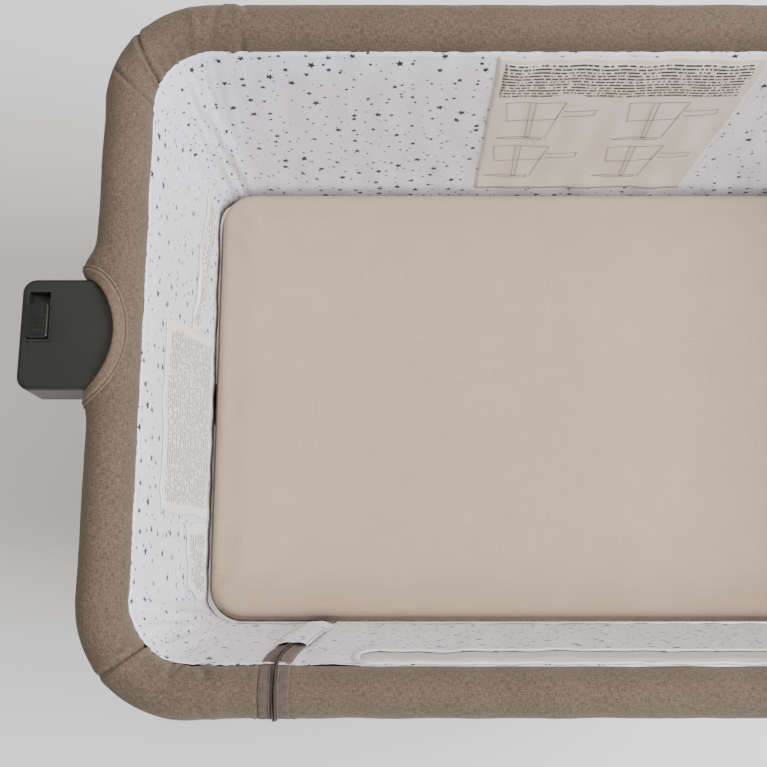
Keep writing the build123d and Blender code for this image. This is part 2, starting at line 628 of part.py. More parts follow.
def arm_blank(grow=0.0):
    """The +X fold-down arm, a flat bar from the drop rail to its hinge eye."""
    half = ARM_THICKNESS / 2 + grow
    top = (-RAIL_Y, RAIL_HEIGHT - RAIL_TUBE_R - FIT)
    middle = ((top[0] + HINGE_Y) / 2, (top[1] + HINGE_Z) / 2)
    length = math.hypot(top[0] - HINGE_Y, top[1] - HINGE_Z)
    lean = math.degrees(math.atan2(top[0] - HINGE_Y, top[1] - HINGE_Z))
    bar = Pos(ARM_X, *middle) * Rot(-lean, 0, 0) * Box(2 * half, ARM_WIDTH + 2 * grow, length + 2 * grow)
    eye = rod("X", ARM_X - half, ARM_X + half, ARM_EYE_R + grow, (HINGE_Y, HINGE_Z))
    arm = bar + eye
    return arm - rod("X", -LONG, LONG, RAIL_TUBE_R + FIT, (-RAIL_Y, RAIL_HEIGHT))


def arm_blanks(grow=0.0):
    """Both fold-down arms, grown by a clearance."""
    return arm_blank(grow) + mirror(arm_blank(grow), Plane.YZ)


def hinge_nodes():
    """The fold-down arms, their brackets on the base frame and their pins."""
    hole = rod("X", -LONG, LONG, HINGE_PIN_R + HINGE_CLEARANCE, (HINGE_Y, HINGE_Z))
    fixed_hole = rod("X", -LONG, LONG, HINGE_PIN_R, (HINGE_Y, HINGE_Z))
    inner_face = ARM_X - ARM_THICKNESS / 2 - SLEEVE_GAP
    arms, brackets, pins = [], [], []
    for sign in END_SIGN.values():
        arms.append(sign_x(arm_blank() - hole, sign))
        tube_face = -BASE_Y - BASE_TUBE / 2
        low = (inner_face - BRACKET_WIDTH, HINGE_Y, HINGE_Z - ARM_EYE_R)
        high = (inner_face, tube_face, HINGE_Z)
        block = box_between(low, high)
        block += rod("X", inner_face - BRACKET_WIDTH, inner_face, ARM_EYE_R, (HINGE_Y, HINGE_Z))
        brackets.append(sign_x(block - fixed_hole, sign))
        start = inner_face - BRACKET_WIDTH
        end = ARM_X + ARM_THICKNESS
        pins.append(sign_x(rod("X", start, end, HINGE_PIN_R, (HINGE_Y, HINGE_Z)), sign))
    return {
        "drop_arms": Compound(arms),
        "hinge_brackets": Compound(brackets),
        "hinge_pins": Compound(pins),
    }


def zip_half(side):
    """One half of the +X zip: tape over the rail and down the wall; side is +1 for the fixed half."""
    inner = DROP_X + side * DROP_GAP
    outer = DROP_X + side * (DROP_GAP + ZIP_TAPE_WIDTH)
    low_x, high_x = min(inner, outer), max(inner, outer)
    across = (-RAIL_Y, RAIL_HEIGHT)
    ring = rod("X", low_x, high_x, SLEEVE_R + ZIP_THICKNESS + FIT, across)
    ring -= rod("X", low_x - OVERSHOOT, high_x + OVERSHOOT, SLEEVE_R + FIT, across)
    return ring & box_between((-LONG, -LONG, RAIL_HEIGHT), (LONG, SLEEVE_R - ZIP_SHORT - RAIL_Y, LONG))


def zip_nodes():
    """The zip halves over the rail, on the fixed ends and on the fold-down side."""
    nodes = {}
    for name, side in (("fixed_zip_tapes", 1), ("drop_zip_tapes", -1)):
        tapes = [sign_x(zip_half(side), sign) for sign in END_SIGN.values()]
        nodes[name] = Compound(tapes)
    return nodes


def square_tube(axis, start, end, across):
    """A square tube of the base frame along X or Y."""
    half = BASE_TUBE / 2
    inner = half - BASE_TUBE_WALL
    low = BASE_TUBE_Z
    if axis == "X":
        outer = box_between((start, across - half, low - half), (end, across + half, low + half))
        bore_low = (start - OVERSHOOT, across - inner, low - inner)
        bore_high = (end + OVERSHOOT, across + inner, low + inner)
        return outer - box_between(bore_low, bore_high)
    outer = box_between((across - half, start, low - half), (across + half, end, low + half))
    bore_low = (across - inner, start - OVERSHOOT, low - inner)
    bore_high = (across + inner, end + OVERSHOOT, low + inner)
    return outer - box_between(bore_low, bore_high)


def base_nodes():
    """The base frame, its board, the mattress and the fitted sheet."""
    half = BASE_TUBE / 2
    reach = BASE_X - half - FIT
    nodes = {
        "far_base_tube": square_tube("X", -reach, reach, BASE_Y),
        "near_base_tube": square_tube("X", -reach, reach, -BASE_Y),
    }
    for name, sign in END_SIGN.items():
        nodes[f"{name}_base_tube"] = square_tube("Y", -BASE_Y - half, BASE_Y + half, sign * BASE_X)
    board = RectangleRounded(
        MATTRESS_LENGTH - 2 * BOARD_GAP, MATTRESS_WIDTH - 2 * BOARD_GAP, MATTRESS_CORNER_R - BOARD_GAP
    )
    nodes["base_board"] = Pos(0, 0, BOARD_BOTTOM) * extrude(board, BOARD_THICKNESS - FIT)
    skin = SHEET_THICKNESS + SHEET_GAP
    nodes["mattress"] = cushion(-skin, 0.0)
    sheet = cushion(0.0, 0.0) - cushion(-SHEET_THICKNESS, -OVERSHOOT)
    nodes["fitted_sheet"] = largest(sheet)
    return nodes


def cushion(grow, drop):
    """The mattress's closed form, grown sideways and upwards, with its underside moved by drop."""
    size_x = MATTRESS_LENGTH + 2 * grow
    size_y = MATTRESS_WIDTH + 2 * grow
    outline = RectangleRounded(size_x, size_y, MATTRESS_CORNER_R + grow)
    height = MATTRESS_THICKNESS + grow - drop
    form = Pos(0, 0, MATTRESS_BOTTOM + drop) * extrude(outline, height)
    return fillet(form.faces().sort_by(Axis.Z)[-1].edges(), MATTRESS_EDGE_R + grow)


def leg_nodes():
    """Every piece of both legs, by node name."""
    body, cover = housing_parts()
    makers = {
        "leg_housing": body,
        "housing_cover": cover,
        "release_button": release_button(),
        "release_strap": release_strap(),
        "return_spring": return_spring(),
        "latch_pin": latch_pin(),
        "leg_collar": leg_collar(),
        "upper_leg_tube": upper_tube(),
        "lower_leg_tube": lower_tube(),
        "glide_cap": glide_cap(),
        "foot_bar": foot_bar(),
        "foot_caps": foot_caps(),
        "foot_pads": foot_pads(),
        "foot_socket": foot_socket(),
    }
    nodes = {}
    for end, sign in END_SIGN.items():
        for name, shape in makers.items():
            nodes[f"{end}_{name}"] = sign_x(shape, sign)
    screws = [sign_x(screw(y, z), sign) for sign in END_SIGN.values() for y, z in screw_places()]
    nodes["cover_screws"] = Compound(screws)
    return nodes


def all_nodes():
    """Every node of the bassinet, in its place on the stand."""
    nodes = {}
    for group in (
        base_nodes,
        wall_nodes,
        rail_nodes,
        plug_nodes,
        sleeve_nodes,
        hinge_nodes,
        zip_nodes,
        leg_nodes,
    ):
        nodes.update(group())
    shift = Pos(0, BASSINET_Y, 0)
    return {name: shift * shape for name, shape in nodes.items()}


os.makedirs("parts", exist_ok=True)
for node_name, node_shape in all_nodes().items():
    export_step(node_shape, f"parts/{node_name}.step")
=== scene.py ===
"""Looks of a bedside bassinet on its height-adjustable stand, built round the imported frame."""
import logging
import math
from dataclasses import dataclass
from enum import Enum
from typing import Callable, Sequence, Union

import bmesh
import bpy
import numpy as np
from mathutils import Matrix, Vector


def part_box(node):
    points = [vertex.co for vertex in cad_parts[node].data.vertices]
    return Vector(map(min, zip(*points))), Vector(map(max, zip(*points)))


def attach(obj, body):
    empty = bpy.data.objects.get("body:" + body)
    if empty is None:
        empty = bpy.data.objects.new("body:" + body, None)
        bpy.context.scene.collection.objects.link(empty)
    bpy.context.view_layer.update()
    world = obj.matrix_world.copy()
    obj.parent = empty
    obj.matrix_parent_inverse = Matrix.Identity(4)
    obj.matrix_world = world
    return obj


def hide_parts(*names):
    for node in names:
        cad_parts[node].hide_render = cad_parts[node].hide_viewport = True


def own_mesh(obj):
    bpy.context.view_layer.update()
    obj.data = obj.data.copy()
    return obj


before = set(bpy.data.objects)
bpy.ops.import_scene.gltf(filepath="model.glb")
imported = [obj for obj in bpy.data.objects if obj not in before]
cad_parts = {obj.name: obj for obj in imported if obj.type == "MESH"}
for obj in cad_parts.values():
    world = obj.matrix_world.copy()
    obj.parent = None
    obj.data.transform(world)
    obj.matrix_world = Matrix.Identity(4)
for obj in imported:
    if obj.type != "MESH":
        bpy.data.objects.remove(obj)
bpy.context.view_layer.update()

LOG = logging.getLogger("bassinet")
TAU = 2.0 * math.pi

Number = Union[float, np.ndarray]
Socket = bpy.types.NodeSocket


class End(Enum):
    """The two ends of the bassinet, with the sign of X at each."""

    LEFT = -1
    RIGHT = 1


class Body(Enum):
    """The moving bodies that soft pieces ride on."""

    TUB = "bassinet"
    DROP = "drop_side"


# ---------------------------------------------------------------- measures


@dataclass(frozen=True)
class Layout:
    """Sizes and places read from the frame, in metres."""

    rail_x: float
    rail_y: float
    centre_y: float
    rail_z: float
    sleeve_r: float
    drop_x: float
    mattress_top: float
    mattress_bottom: float
    mattress_x: float
    mattress_y: float
    board_bottom: float
    bend_r: float = 0.075

    @classmethod
    def measure(cls) -> "Layout":
        """Reads the layout from the boxes of the frame's nodes.

        Returns:
            The filled layout.
        """
        end_low, end_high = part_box("left_end_sleeve")
        far_low, far_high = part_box("far_sleeve")
        drop_low, drop_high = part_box("drop_sleeve")
        pad_low, pad_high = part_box("mattress")
        sleeve_r = (end_high.z - end_low.z) / 2
        far_y = (far_low.y + far_high.y) / 2
        near_y = (drop_low.y + drop_high.y) / 2
        corner_low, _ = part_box("near_right_corner_wall")
        board_low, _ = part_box("base_board")
        return cls(
            rail_x=-end_low.x - sleeve_r,
            rail_y=(far_y - near_y) / 2,
            centre_y=(far_y + near_y) / 2,
            rail_z=(end_high.z + end_low.z) / 2,
            sleeve_r=sleeve_r,
            drop_x=(drop_high.x + corner_low.x) / 2,
            mattress_top=pad_high.z,
            mattress_bottom=pad_low.z,
            mattress_x=(pad_high.x - pad_low.x) / 2,
            mattress_y=(pad_high.y - pad_low.y) / 2,
            board_bottom=board_low.z,
        )


class RailPath:
    """The top rail's centre line in plan, from the near left zip round to the near right zip and on
    along the fold-down side, back to its start."""

    def __init__(self, layout: Layout) -> None:
        """Works out the straight runs and bends.

        Args:
            layout: The sizes to follow.
        """
        self.layout = layout
        radius = layout.bend_r
        short = layout.rail_x - radius - layout.drop_x
        side = 2 * (layout.rail_y - radius)
        length = 2 * (layout.rail_x - radius)
        bend = radius * math.pi / 2
        quarter = math.pi / 2
        runs = [(short, 0.0), (bend, -quarter), (side, 0.0), (bend, -quarter), (length, 0.0)]
        runs += [(bend, -quarter), (side, 0.0), (bend, -quarter), (short, 0.0), (2 * layout.drop_x, 0.0)]
        starts, points, angles = [0.0], [(-layout.drop_x, -layout.rail_y)], [-quarter]
        for run, turn in runs:
            x, y = points[-1]
            angle = angles[-1]
            if turn:
                centre = (x - radius * math.cos(angle), y - radius * math.sin(angle))
                after = angle + turn
                points.append((centre[0] + radius * math.cos(after), centre[1] + radius * math.sin(after)))
            else:
                after = angle
                points.append((x + run * math.sin(angle), y - run * math.cos(angle)))
            angles.append(after)
            starts.append(starts[-1] + run)
        self.starts = np.array(starts)
        self.points = np.array(points)
        self.angles = np.array(angles)
        self.turns = np.array([turn for _, turn in runs])
        self.fixed_end = starts[-2]
        self.total = starts[-1]
        self.corners = [(starts[i] + starts[i + 1]) / 2 for i in (1, 3, 5, 7)]
        self.corner_half = bend / 2
        self.left_middle = (starts[2] + starts[3]) / 2
        self.right_middle = (starts[6] + starts[7]) / 2
        self.far_middle = (starts[4] + starts[5]) / 2

    def at(self, s: np.ndarray) -> tuple[np.ndarray, np.ndarray, np.ndarray]:
        """Finds places on the centre line.

        Args:
            s: Distances along the path, in metres.

        Returns:
            X and Y of the places, stacked last, the outward normals likewise, and the normals' angles.
        """
        s = np.asarray(s, float)
        index = np.clip(np.searchsorted(self.starts, s, side="right") - 1, 0, len(self.turns) - 1)
        along = s - self.starts[index]
        angle0 = self.angles[index]
        turn = self.turns[index]
        radius = self.layout.bend_r
        bending = turn != 0
        angle = np.where(bending, angle0 - along / radius, angle0)
        start = self.points[index]
        x = start[..., 0] + np.where(
            bending, radius * (np.cos(angle) - np.cos(angle0)), along * np.sin(angle0)
        )
        y = start[..., 1] + np.where(
            bending, radius * (np.sin(angle) - np.sin(angle0)), -along * np.cos(angle0)
        )
        place = np.stack([x, y + self.layout.centre_y], -1)
        return place, np.stack([np.cos(angle), np.sin(angle)], -1), angle

    def s_at_far(self, x: float) -> float:
        """The distance along the path to a place on the far side, by its X."""
        return self.far_middle + x


# ---------------------------------------------------------------- small maths


def hump(distance: Number, width: float) -> Number:
    """A smooth bump, 1 at no distance and near 0 past twice the width."""
    return np.exp(-((distance / width) ** 2))


def ease(value: Number, low: float, high: float) -> Number:
    """A smooth step from 0 at low to 1 at high."""
    part = np.clip((value - low) / (high - low), 0.0, 1.0)
    return part * part * (3 - 2 * part)


def ripple(a: Number, b: Number, seed: int, waves: int = 7) -> Number:
    """A soft, even-handed unevenness made of a few crossing waves.

    Args:
        a: First coordinate, about one wave per unit.
        b: Second coordinate, likewise.
        seed: Fixes the waves.
        waves: How many waves are added.

    Returns:
        Values between about -1 and 1.
    """
    rng = np.random.default_rng(seed)
    total = 0.0
    for _ in range(waves):
        turn, phase, size = rng.uniform(0, TAU), rng.uniform(0, TAU), rng.uniform(0.6, 1.7)
        total = total + np.sin(size * TAU * (a * math.cos(turn) + b * math.sin(turn)) + phase)
    return total / (waves * 0.55)


# ---------------------------------------------------------------- mesh helpers


def grid_piece(
    name: str, points: np.ndarray, uv: np.ndarray, weld: float = 0.0, flip: bool = False
) -> bpy.types.Object:
    """Makes a smooth mesh from a grid of points.

    Args:
        name: The piece's name.
        points: Rows by columns by 3.
        uv: Rows by columns by 2, in metres along the cloth.
        weld: Distance under which points are merged.
        flip: Whether to turn the faces over.

    Returns:
        The new object.
    """
    rows, cols = points.shape[:2]
    index = np.arange(rows * cols).reshape(rows, cols)
    quads = np.stack([index[:-1, :-1], index[1:, :-1], index[1:, 1:], index[:-1, 1:]], -1)
    quads = quads.reshape(-1, 4)[:, ::-1] if flip else quads.reshape(-1, 4)
    mesh = bpy.data.meshes.new(name)
    mesh.from_pydata(points.reshape(-1, 3).tolist(), [], quads.tolist())
    layer = mesh.uv_layers.new(name="cloth")
    corner = np.empty(len(mesh.loops), np.int32)
    mesh.loops.foreach_get("vertex_index", corner)
    layer.data.foreach_set("uv", uv.reshape(-1, 2)[corner].ravel().astype(np.float32))
    mesh.shade_smooth()
    mesh.update()
    piece = bpy.data.objects.new(name, mesh)
    bpy.context.collection.objects.link(piece)
    if weld:
        shape = bmesh.new()
        shape.from_mesh(mesh)
        bmesh.ops.remove_doubles(shape, verts=shape.verts, dist=weld)
        loose = [v for v in shape.verts if not v.link_faces]
        bmesh.ops.delete(shape, geom=loose, context="VERTS")
        shape.to_mesh(mesh)
        shape.free()
    return piece


def thicken(piece: bpy.types.Object, thickness: float, offset: float = -1.0) -> None:
    """Gives a sheet its thickness and closed edges.

    Args:
        piece: The sheet.
        thickness: In metres.
        offset: -1 grows against the normals, 1 along them.
    """
    solid = piece.modifiers.new("thickness", "SOLIDIFY")
    solid.thickness = thickness
    solid.offset = offset


def apply_modifiers(piece: bpy.types.Object) -> None:
    """Turns a piece's modifiers into its mesh."""
    graph = bpy.context.evaluated_depsgraph_get()
    final = bpy.data.meshes.new_from_object(piece.evaluated_get(graph))
    old = piece.data
    piece.modifiers.clear()
    piece.data = final
    bpy.data.meshes.remove(old)


def finish_piece(
    piece: bpy.types.Object, material: bpy.types.Material, body: Body, slot: str, *nodes: str
) -> bpy.types.Object:
    """Dresses a piece, sets it on its body and reports it.

    Args:
        piece: The finished object.
        material: Its material.
        body: The body that it rides on.
        slot: A material slot's name; not used.
        nodes: The frame's nodes that it stands for.

    Returns:
        The same piece.
    """
    piece.data.materials.clear()
    piece.data.materials.append(material)
    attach(piece, body.value)
    if nodes:
        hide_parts(*nodes)
    LOG.info("%s rides on %s, %d faces", piece.name, body.value, len(piece.data.polygons))
    return piece


# ---------------------------------------------------------------- shader nodes


class Graph:
    """Adds and joins nodes in one node tree."""

    def __init__(self, tree: bpy.types.NodeTree) -> None:
        """Keeps the tree.

        Args:
            tree: The node tree to build in.
        """
        self.tree = tree

    def add(self, kind: str, **settings: object) -> bpy.types.Node:
        """Adds a node and sets its properties."""
        node = self.tree.nodes.new(kind)
        for name, value in settings.items():
            setattr(node, name, value)
        return node

    def feed(self, target: Socket, value: Union[Socket, float, Sequence[float]]) -> None:
        """Joins a socket to a target, or sets the target's own value."""
        if isinstance(value, bpy.types.NodeSocket):
            self.tree.links.new(value, target)
        else:
            target.default_value = value

    def math(self, operation: str, *values: Union[Socket, float], clamp: bool = False) -> Socket:
        """Adds a Math node.

        Args:
            operation: Blender's name for it.
            values: One to three inputs.
            clamp: Whether to hold the result between 0 and 1.

        Returns:
            The result's socket.
        """
        node = self.add("ShaderNodeMath", operation=operation, use_clamp=clamp)
        for target, value in zip(node.inputs, values):
            self.feed(target, value)
        return node.outputs[0]

    def span(self, value: Socket, low: float, high: float, new_low: float = 0, new_high: float = 1) -> Socket:
        """Adds a smooth Map Range node and returns its result."""
        node = self.add("ShaderNodeMapRange", interpolation_type="SMOOTHSTEP")
        for target, item in zip(node.inputs, (value, low, high, new_low, new_high)):
            self.feed(target, item)
        return node.outputs[0]

    def noise(self, vector: Socket, scale: float, detail: float = 2.0) -> Socket:
        """Adds a Noise Texture and returns its value."""
        node = self.add("ShaderNodeTexNoise")
        self.feed(node.inputs["Vector"], vector)
        self.feed(node.inputs["Scale"], scale)
        self.feed(node.inputs["Detail"], detail)
        return node.outputs["Fac"]

    def split(self, vector: Socket) -> list[Socket]:
        """Adds Separate XYZ and returns the three sockets."""
        node = self.add("ShaderNodeSeparateXYZ")
        self.feed(node.inputs[0], vector)
        return list(node.outputs)

    def join(self, x: Union[Socket, float], y: Union[Socket, float], z: Union[Socket, float] = 0.0) -> Socket:
        """Adds Combine XYZ and returns the vector."""
        node = self.add("ShaderNodeCombineXYZ")
        for target, value in zip(node.inputs, (x, y, z)):
            self.feed(target, value)
        return node.outputs[0]

    def mix(
        self, factor: Union[Socket, float], first: Union[Socket, Sequence[float]], second: Union[
            Socket, Sequence[float]
        ]
    ) -> Socket:
        """Adds a colour Mix node and returns its colour."""
        node = self.add("ShaderNodeMix", data_type="RGBA")
        self.feed(node.inputs[0], factor)
        self.feed(node.inputs[6], first)
        self.feed(node.inputs[7], second)
        return node.outputs[2]


class GroupKind(Enum):
    """The shader groups that several finishes share."""

    WOVEN = "woven_threads"
    STARS = "star_print"
    GRAIN = "moulded_grain"
    WEAR = "edge_wear"
    CREASE = "cloth_creases"


class ShaderGroups:
    """Builds each shared shader group once and places it in materials."""

    def __init__(self) -> None:
        """Builds every group."""
        self.trees: dict[GroupKind, bpy.types.NodeTree] = {}
        self._woven()
        self._stars()
        self._grain()
        self._wear()
        self._crease()

    def _start(
        self, kind: GroupKind, inputs: dict[str, Union[str, float]], outputs: Sequence[str]
    ) -> tuple[Graph, bpy.types.Node, bpy.types.Node]:
        """Opens a new group.

        Args:
            kind: Which group.
            inputs: Input names, with a default number or the word "vector".
            outputs: Output names.

        Returns:
            The graph, the group's input node and its output node.
        """
        tree = bpy.data.node_groups.new(kind.value, "ShaderNodeTree")
        for name, value in inputs.items():
            if value == "vector":
                tree.interface.new_socket(name, in_out="INPUT", socket_type="NodeSocketVector")
            else:
                item = tree.interface.new_socket(name, in_out="INPUT", socket_type="NodeSocketFloat")
                item.default_value = value
        for name in outputs:
            tree.interface.new_socket(name, in_out="OUTPUT", socket_type="NodeSocketFloat")
        self.trees[kind] = tree
        graph = Graph(tree)
        return graph, graph.add("NodeGroupInput"), graph.add("NodeGroupOutput")

    def _woven(self) -> None:
        """Crossing threads: a tone that varies from yarn to yarn, and their height."""
        graph, given, out = self._start(
            GroupKind.WOVEN, {"Vector": "vector", "Pitch": 0.0008, "Slub": 0.012}, ("Tone", "Height")
        )
        u, v, _ = graph.split(given.outputs["Vector"])
        pitch, slub = given.outputs["Pitch"], given.outputs["Slub"]
        a = graph.math("DIVIDE", u, pitch)
        b = graph.math("DIVIDE", v, pitch)
        wave_a = graph.math("SINE", graph.math("MULTIPLY", a, math.pi))
        wave_b = graph.math("SINE", graph.math("MULTIPLY", b, math.pi))
        crossing = graph.math("MULTIPLY", wave_a, wave_b)
        over = graph.span(crossing, -0.4, 0.4)
        high_a = graph.math("ABSOLUTE", wave_a)
        high_b = graph.math("ABSOLUTE", wave_b)
        height = graph.math(
            "ADD",
            graph.math("MULTIPLY", high_a, over),
            graph.math("MULTIPLY", high_b, graph.math("SUBTRACT", 1.0, over)),
        )
        graph.feed(out.inputs["Height"], height)
        lengthwise = graph.noise(graph.join(a, graph.math("DIVIDE", v, slub)), 0.8, 1.0)
        crosswise = graph.noise(graph.join(graph.math("DIVIDE", u, slub), b, 7.3), 0.8, 1.0)
        tone = graph.math("MULTIPLY", graph.math("ADD", lengthwise, crosswise), 0.5)
        graph.feed(out.inputs["Tone"], tone)

    def _stars(self) -> None:
        """Five-pointed stars scattered one to a cell, turned and sized at random."""
        graph, given, out = self._start(
            GroupKind.STARS,
            {"Vector": "vector", "Cell": 0.02, "Smallest": 0.0008, "Largest": 0.003, "Missing": 0.2},
            ("Mask",),
        )
        cell = given.outputs["Cell"]
        scaled = graph.add("ShaderNodeVectorMath", operation="SCALE")
        graph.feed(scaled.inputs[0], given.outputs["Vector"])
        graph.feed(scaled.inputs["Scale"], graph.math("DIVIDE", 1.0, cell))
        cells = graph.add("ShaderNodeTexVoronoi", voronoi_dimensions="2D")
        graph.feed(cells.inputs["Vector"], scaled.outputs[0])
        graph.feed(cells.inputs["Scale"], 1.0)
        graph.feed(cells.inputs["Randomness"], 0.85)
        away = graph.add("ShaderNodeVectorMath", operation="SUBTRACT")
        graph.feed(away.inputs[0], scaled.outputs[0])
        graph.feed(away.inputs[1], cells.outputs["Position"])
        x, y, _ = graph.split(away.outputs[0])
        chance = graph.split(cells.outputs["Color"])
        x = graph.math("MULTIPLY", x, cell)
        y = graph.math("MULTIPLY", y, cell)
        reach = graph.math(
            "SQRT", graph.math("ADD", graph.math("MULTIPLY", x, x), graph.math("MULTIPLY", y, y))
        )
        turned = graph.math("ADD", graph.math("ARCTAN2", y, x), graph.math("MULTIPLY", chance[1], TAU))
        fifth = TAU / 5
        wrapped = graph.math("FLOORED_MODULO", turned, fifth)
        fold = graph.math("ABSOLUTE", graph.math("SUBTRACT", wrapped, fifth / 2))
        along = graph.math("MULTIPLY", reach, graph.math("COSINE", fold))
        across = graph.math("MULTIPLY", reach, graph.math("SINE", fold))
        waist = 0.47
        edge = waist * math.sin(fifth / 2)
        lean = 1 - waist * math.cos(fifth / 2)
        size = graph.math(
            "MULTIPLY_ADD",
            graph.math("POWER", chance[0], 1.35),
            graph.math("SUBTRACT", given.outputs["Largest"], given.outputs["Smallest"]),
            given.outputs["Smallest"],
        )
        outline = graph.math("ADD", graph.math("MULTIPLY", along, edge), graph.math("MULTIPLY", across, lean))
        inside = graph.math("SUBTRACT", graph.math("MULTIPLY", size, edge), outline)
        star = graph.span(inside, -0.00006, 0.00006)
        present = graph.math("GREATER_THAN", chance[2], given.outputs["Missing"])
        graph.feed(out.inputs["Mask"], graph.math("MULTIPLY", star, present))

    def _grain(self) -> None:
        """Fine moulded texture and slow patchiness."""
        graph, given, out = self._start(
            GroupKind.GRAIN, {"Vector": "vector", "Size": 0.0006}, ("Height", "Patch")
        )
        scale = graph.math("DIVIDE", 1.0, given.outputs["Size"])
        fine = graph.add("ShaderNodeTexNoise")
        graph.feed(fine.inputs["Vector"], given.outputs["Vector"])
        graph.feed(fine.inputs["Scale"], scale)
        graph.feed(fine.inputs["Detail"], 3.0)
        graph.feed(out.inputs["Height"], fine.outputs["Fac"])
        graph.feed(out.inputs["Patch"], graph.noise(given.outputs["Vector"], 22.0, 4.0))

    def _wear(self) -> None:
        """A mask of rubbed edges, broken up by noise."""
        graph, given, out = self._start(GroupKind.WEAR, {"Vector": "vector", "Amount": 0.5}, ("Mask",))
        geometry = graph.add("ShaderNodeNewGeometry")
        sharp = graph.span(geometry.outputs["Pointiness"], 0.53, 0.62)
        broken = graph.span(graph.noise(given.outputs["Vector"], 90.0, 4.0), 0.35, 0.7)
        mask = graph.math("MULTIPLY", graph.math("MULTIPLY", sharp, broken), given.outputs["Amount"])
        graph.feed(out.inputs["Mask"], mask)

    def _crease(self) -> None:
        """Soft crumple lines of lived-in cloth."""
        graph, given, out = self._start(GroupKind.CREASE, {"Vector": "vector", "Size": 0.08}, ("Height",))
        scale = graph.math("DIVIDE", 1.0, given.outputs["Size"])
        wide = graph.add("ShaderNodeTexNoise", noise_dimensions="3D")
        graph.feed(wide.inputs["Vector"], given.outputs["Vector"])
        graph.feed(wide.inputs["Scale"], scale)
        graph.feed(wide.inputs["Detail"], 3.0)
        graph.feed(wide.inputs["Distortion"], 1.2)
        ridge = graph.math("ABSOLUTE", graph.math("SUBTRACT", wide.outputs["Fac"], 0.5))
        graph.feed(
            out.inputs["Height"],
            graph.math("SUBTRACT", 1.0, graph.math("MULTIPLY", ridge, 3.0), clamp=True)
        )

    def place(self, graph: Graph, kind: GroupKind, vector: Socket, **values: float) -> bpy.types.Node:
        """Places a shared group in a material.

        Args:
            graph: The material's graph.
            kind: Which group.
            vector: The coordinates that it reads.
            values: Its other inputs, with underscores for spaces.

        Returns:
            The group's node.
        """
        node = graph.add("ShaderNodeGroup", node_tree=self.trees[kind])
        graph.feed(node.inputs["Vector"], vector)
        for name, value in values.items():
            node.inputs[name.replace("_", " ").title()].default_value = value
        return node


# ---------------------------------------------------------------- finishes

Colour = tuple[float, float, float]


def rgba(colour: Colour) -> tuple[float, float, float, float]:
    """A colour with full alpha."""
    return (*colour, 1.0)


class Finish:
    """Common parts of every finish: a material, its shader and its graph."""

    groups: ShaderGroups

    def begin(self, name: str, roughness: float) -> tuple[bpy.types.Material, Graph, bpy.types.Node]:
        """Opens a new material.

        Args:
            name: The material's name.
            roughness: The shader's roughness.

        Returns:
            The material, its graph and its Principled node.
        """
        material = bpy.data.materials.new(name)
        material.use_nodes = True
        graph = Graph(material.node_tree)
        shader = material.node_tree.nodes["Principled BSDF"]
        shader.inputs["Roughness"].default_value = roughness
        return material, graph, shader

    def bump(
        self, graph: Graph, shader: bpy.types.Node, height: Socket, depth: float, strength: float = 1.0
    ) -> None:
        """Feeds a height to the shader's normal, with its depth in metres."""
        node = graph.add("ShaderNodeBump")
        node.inputs["Strength"].default_value = strength
        node.inputs["Distance"].default_value = depth
        graph.feed(node.inputs["Height"], height)
        graph.feed(shader.inputs["Normal"], node.outputs[0])

    def sheen(self, shader: bpy.types.Node, weight: float, tint: Colour) -> None:
        """Sets the soft edge light of cloth."""
        shader.inputs["Sheen Weight"].default_value = weight
        shader.inputs["Sheen Roughness"].default_value = 0.45
        shader.inputs["Sheen Tint"].default_value = rgba(tint)


@dataclass(frozen=True)
class MelangeFinish(Finish):
    """Coarse woven cloth of mixed light and dark yarns."""

    name: str
    dark: Colour
    light: Colour
    pitch: float = 0.0007
    slub: float = 0.0036

    def material(self) -> bpy.types.Material:
        """Builds the cloth's material, with painted shade darkening the valleys between threads."""
        material, graph, shader = self.begin(self.name, 0.88)
        uv = graph.add("ShaderNodeUVMap", uv_map="cloth").outputs[0]
        threads = self.groups.place(graph, GroupKind.WOVEN, uv, pitch=self.pitch, slub=self.slub)
        patch = self.groups.place(graph, GroupKind.GRAIN, uv, size=0.0012)
        tone = graph.math(
            "ADD", threads.outputs["Tone"], graph.math("MULTIPLY", patch.outputs["Patch"], 0.12)
        )
        tone = graph.math("ADD", tone, graph.math("MULTIPLY", patch.outputs["Height"], 0.10))
        level = graph.span(tone, 0.28, 0.88)
        colour = graph.mix(level, rgba(self.dark), rgba(self.light))
        # Painted shade: where the threads sink, the colour darkens towards 0.45 of the dark yarn, standing in for
        # shade in the valleys of the weave.
        shade = graph.span(threads.outputs["Height"], 0.0, 0.7, 0.62, 1.0)
        colour = graph.mix(shade, rgba(tuple(0.45 * c for c in self.dark)), colour)
        graph.feed(shader.inputs["Base Color"], colour)
        self.bump(graph, shader, threads.outputs["Height"], 0.00022, 0.8)
        self.sheen(shader, 0.18, (0.9, 0.82, 0.74))
        return material


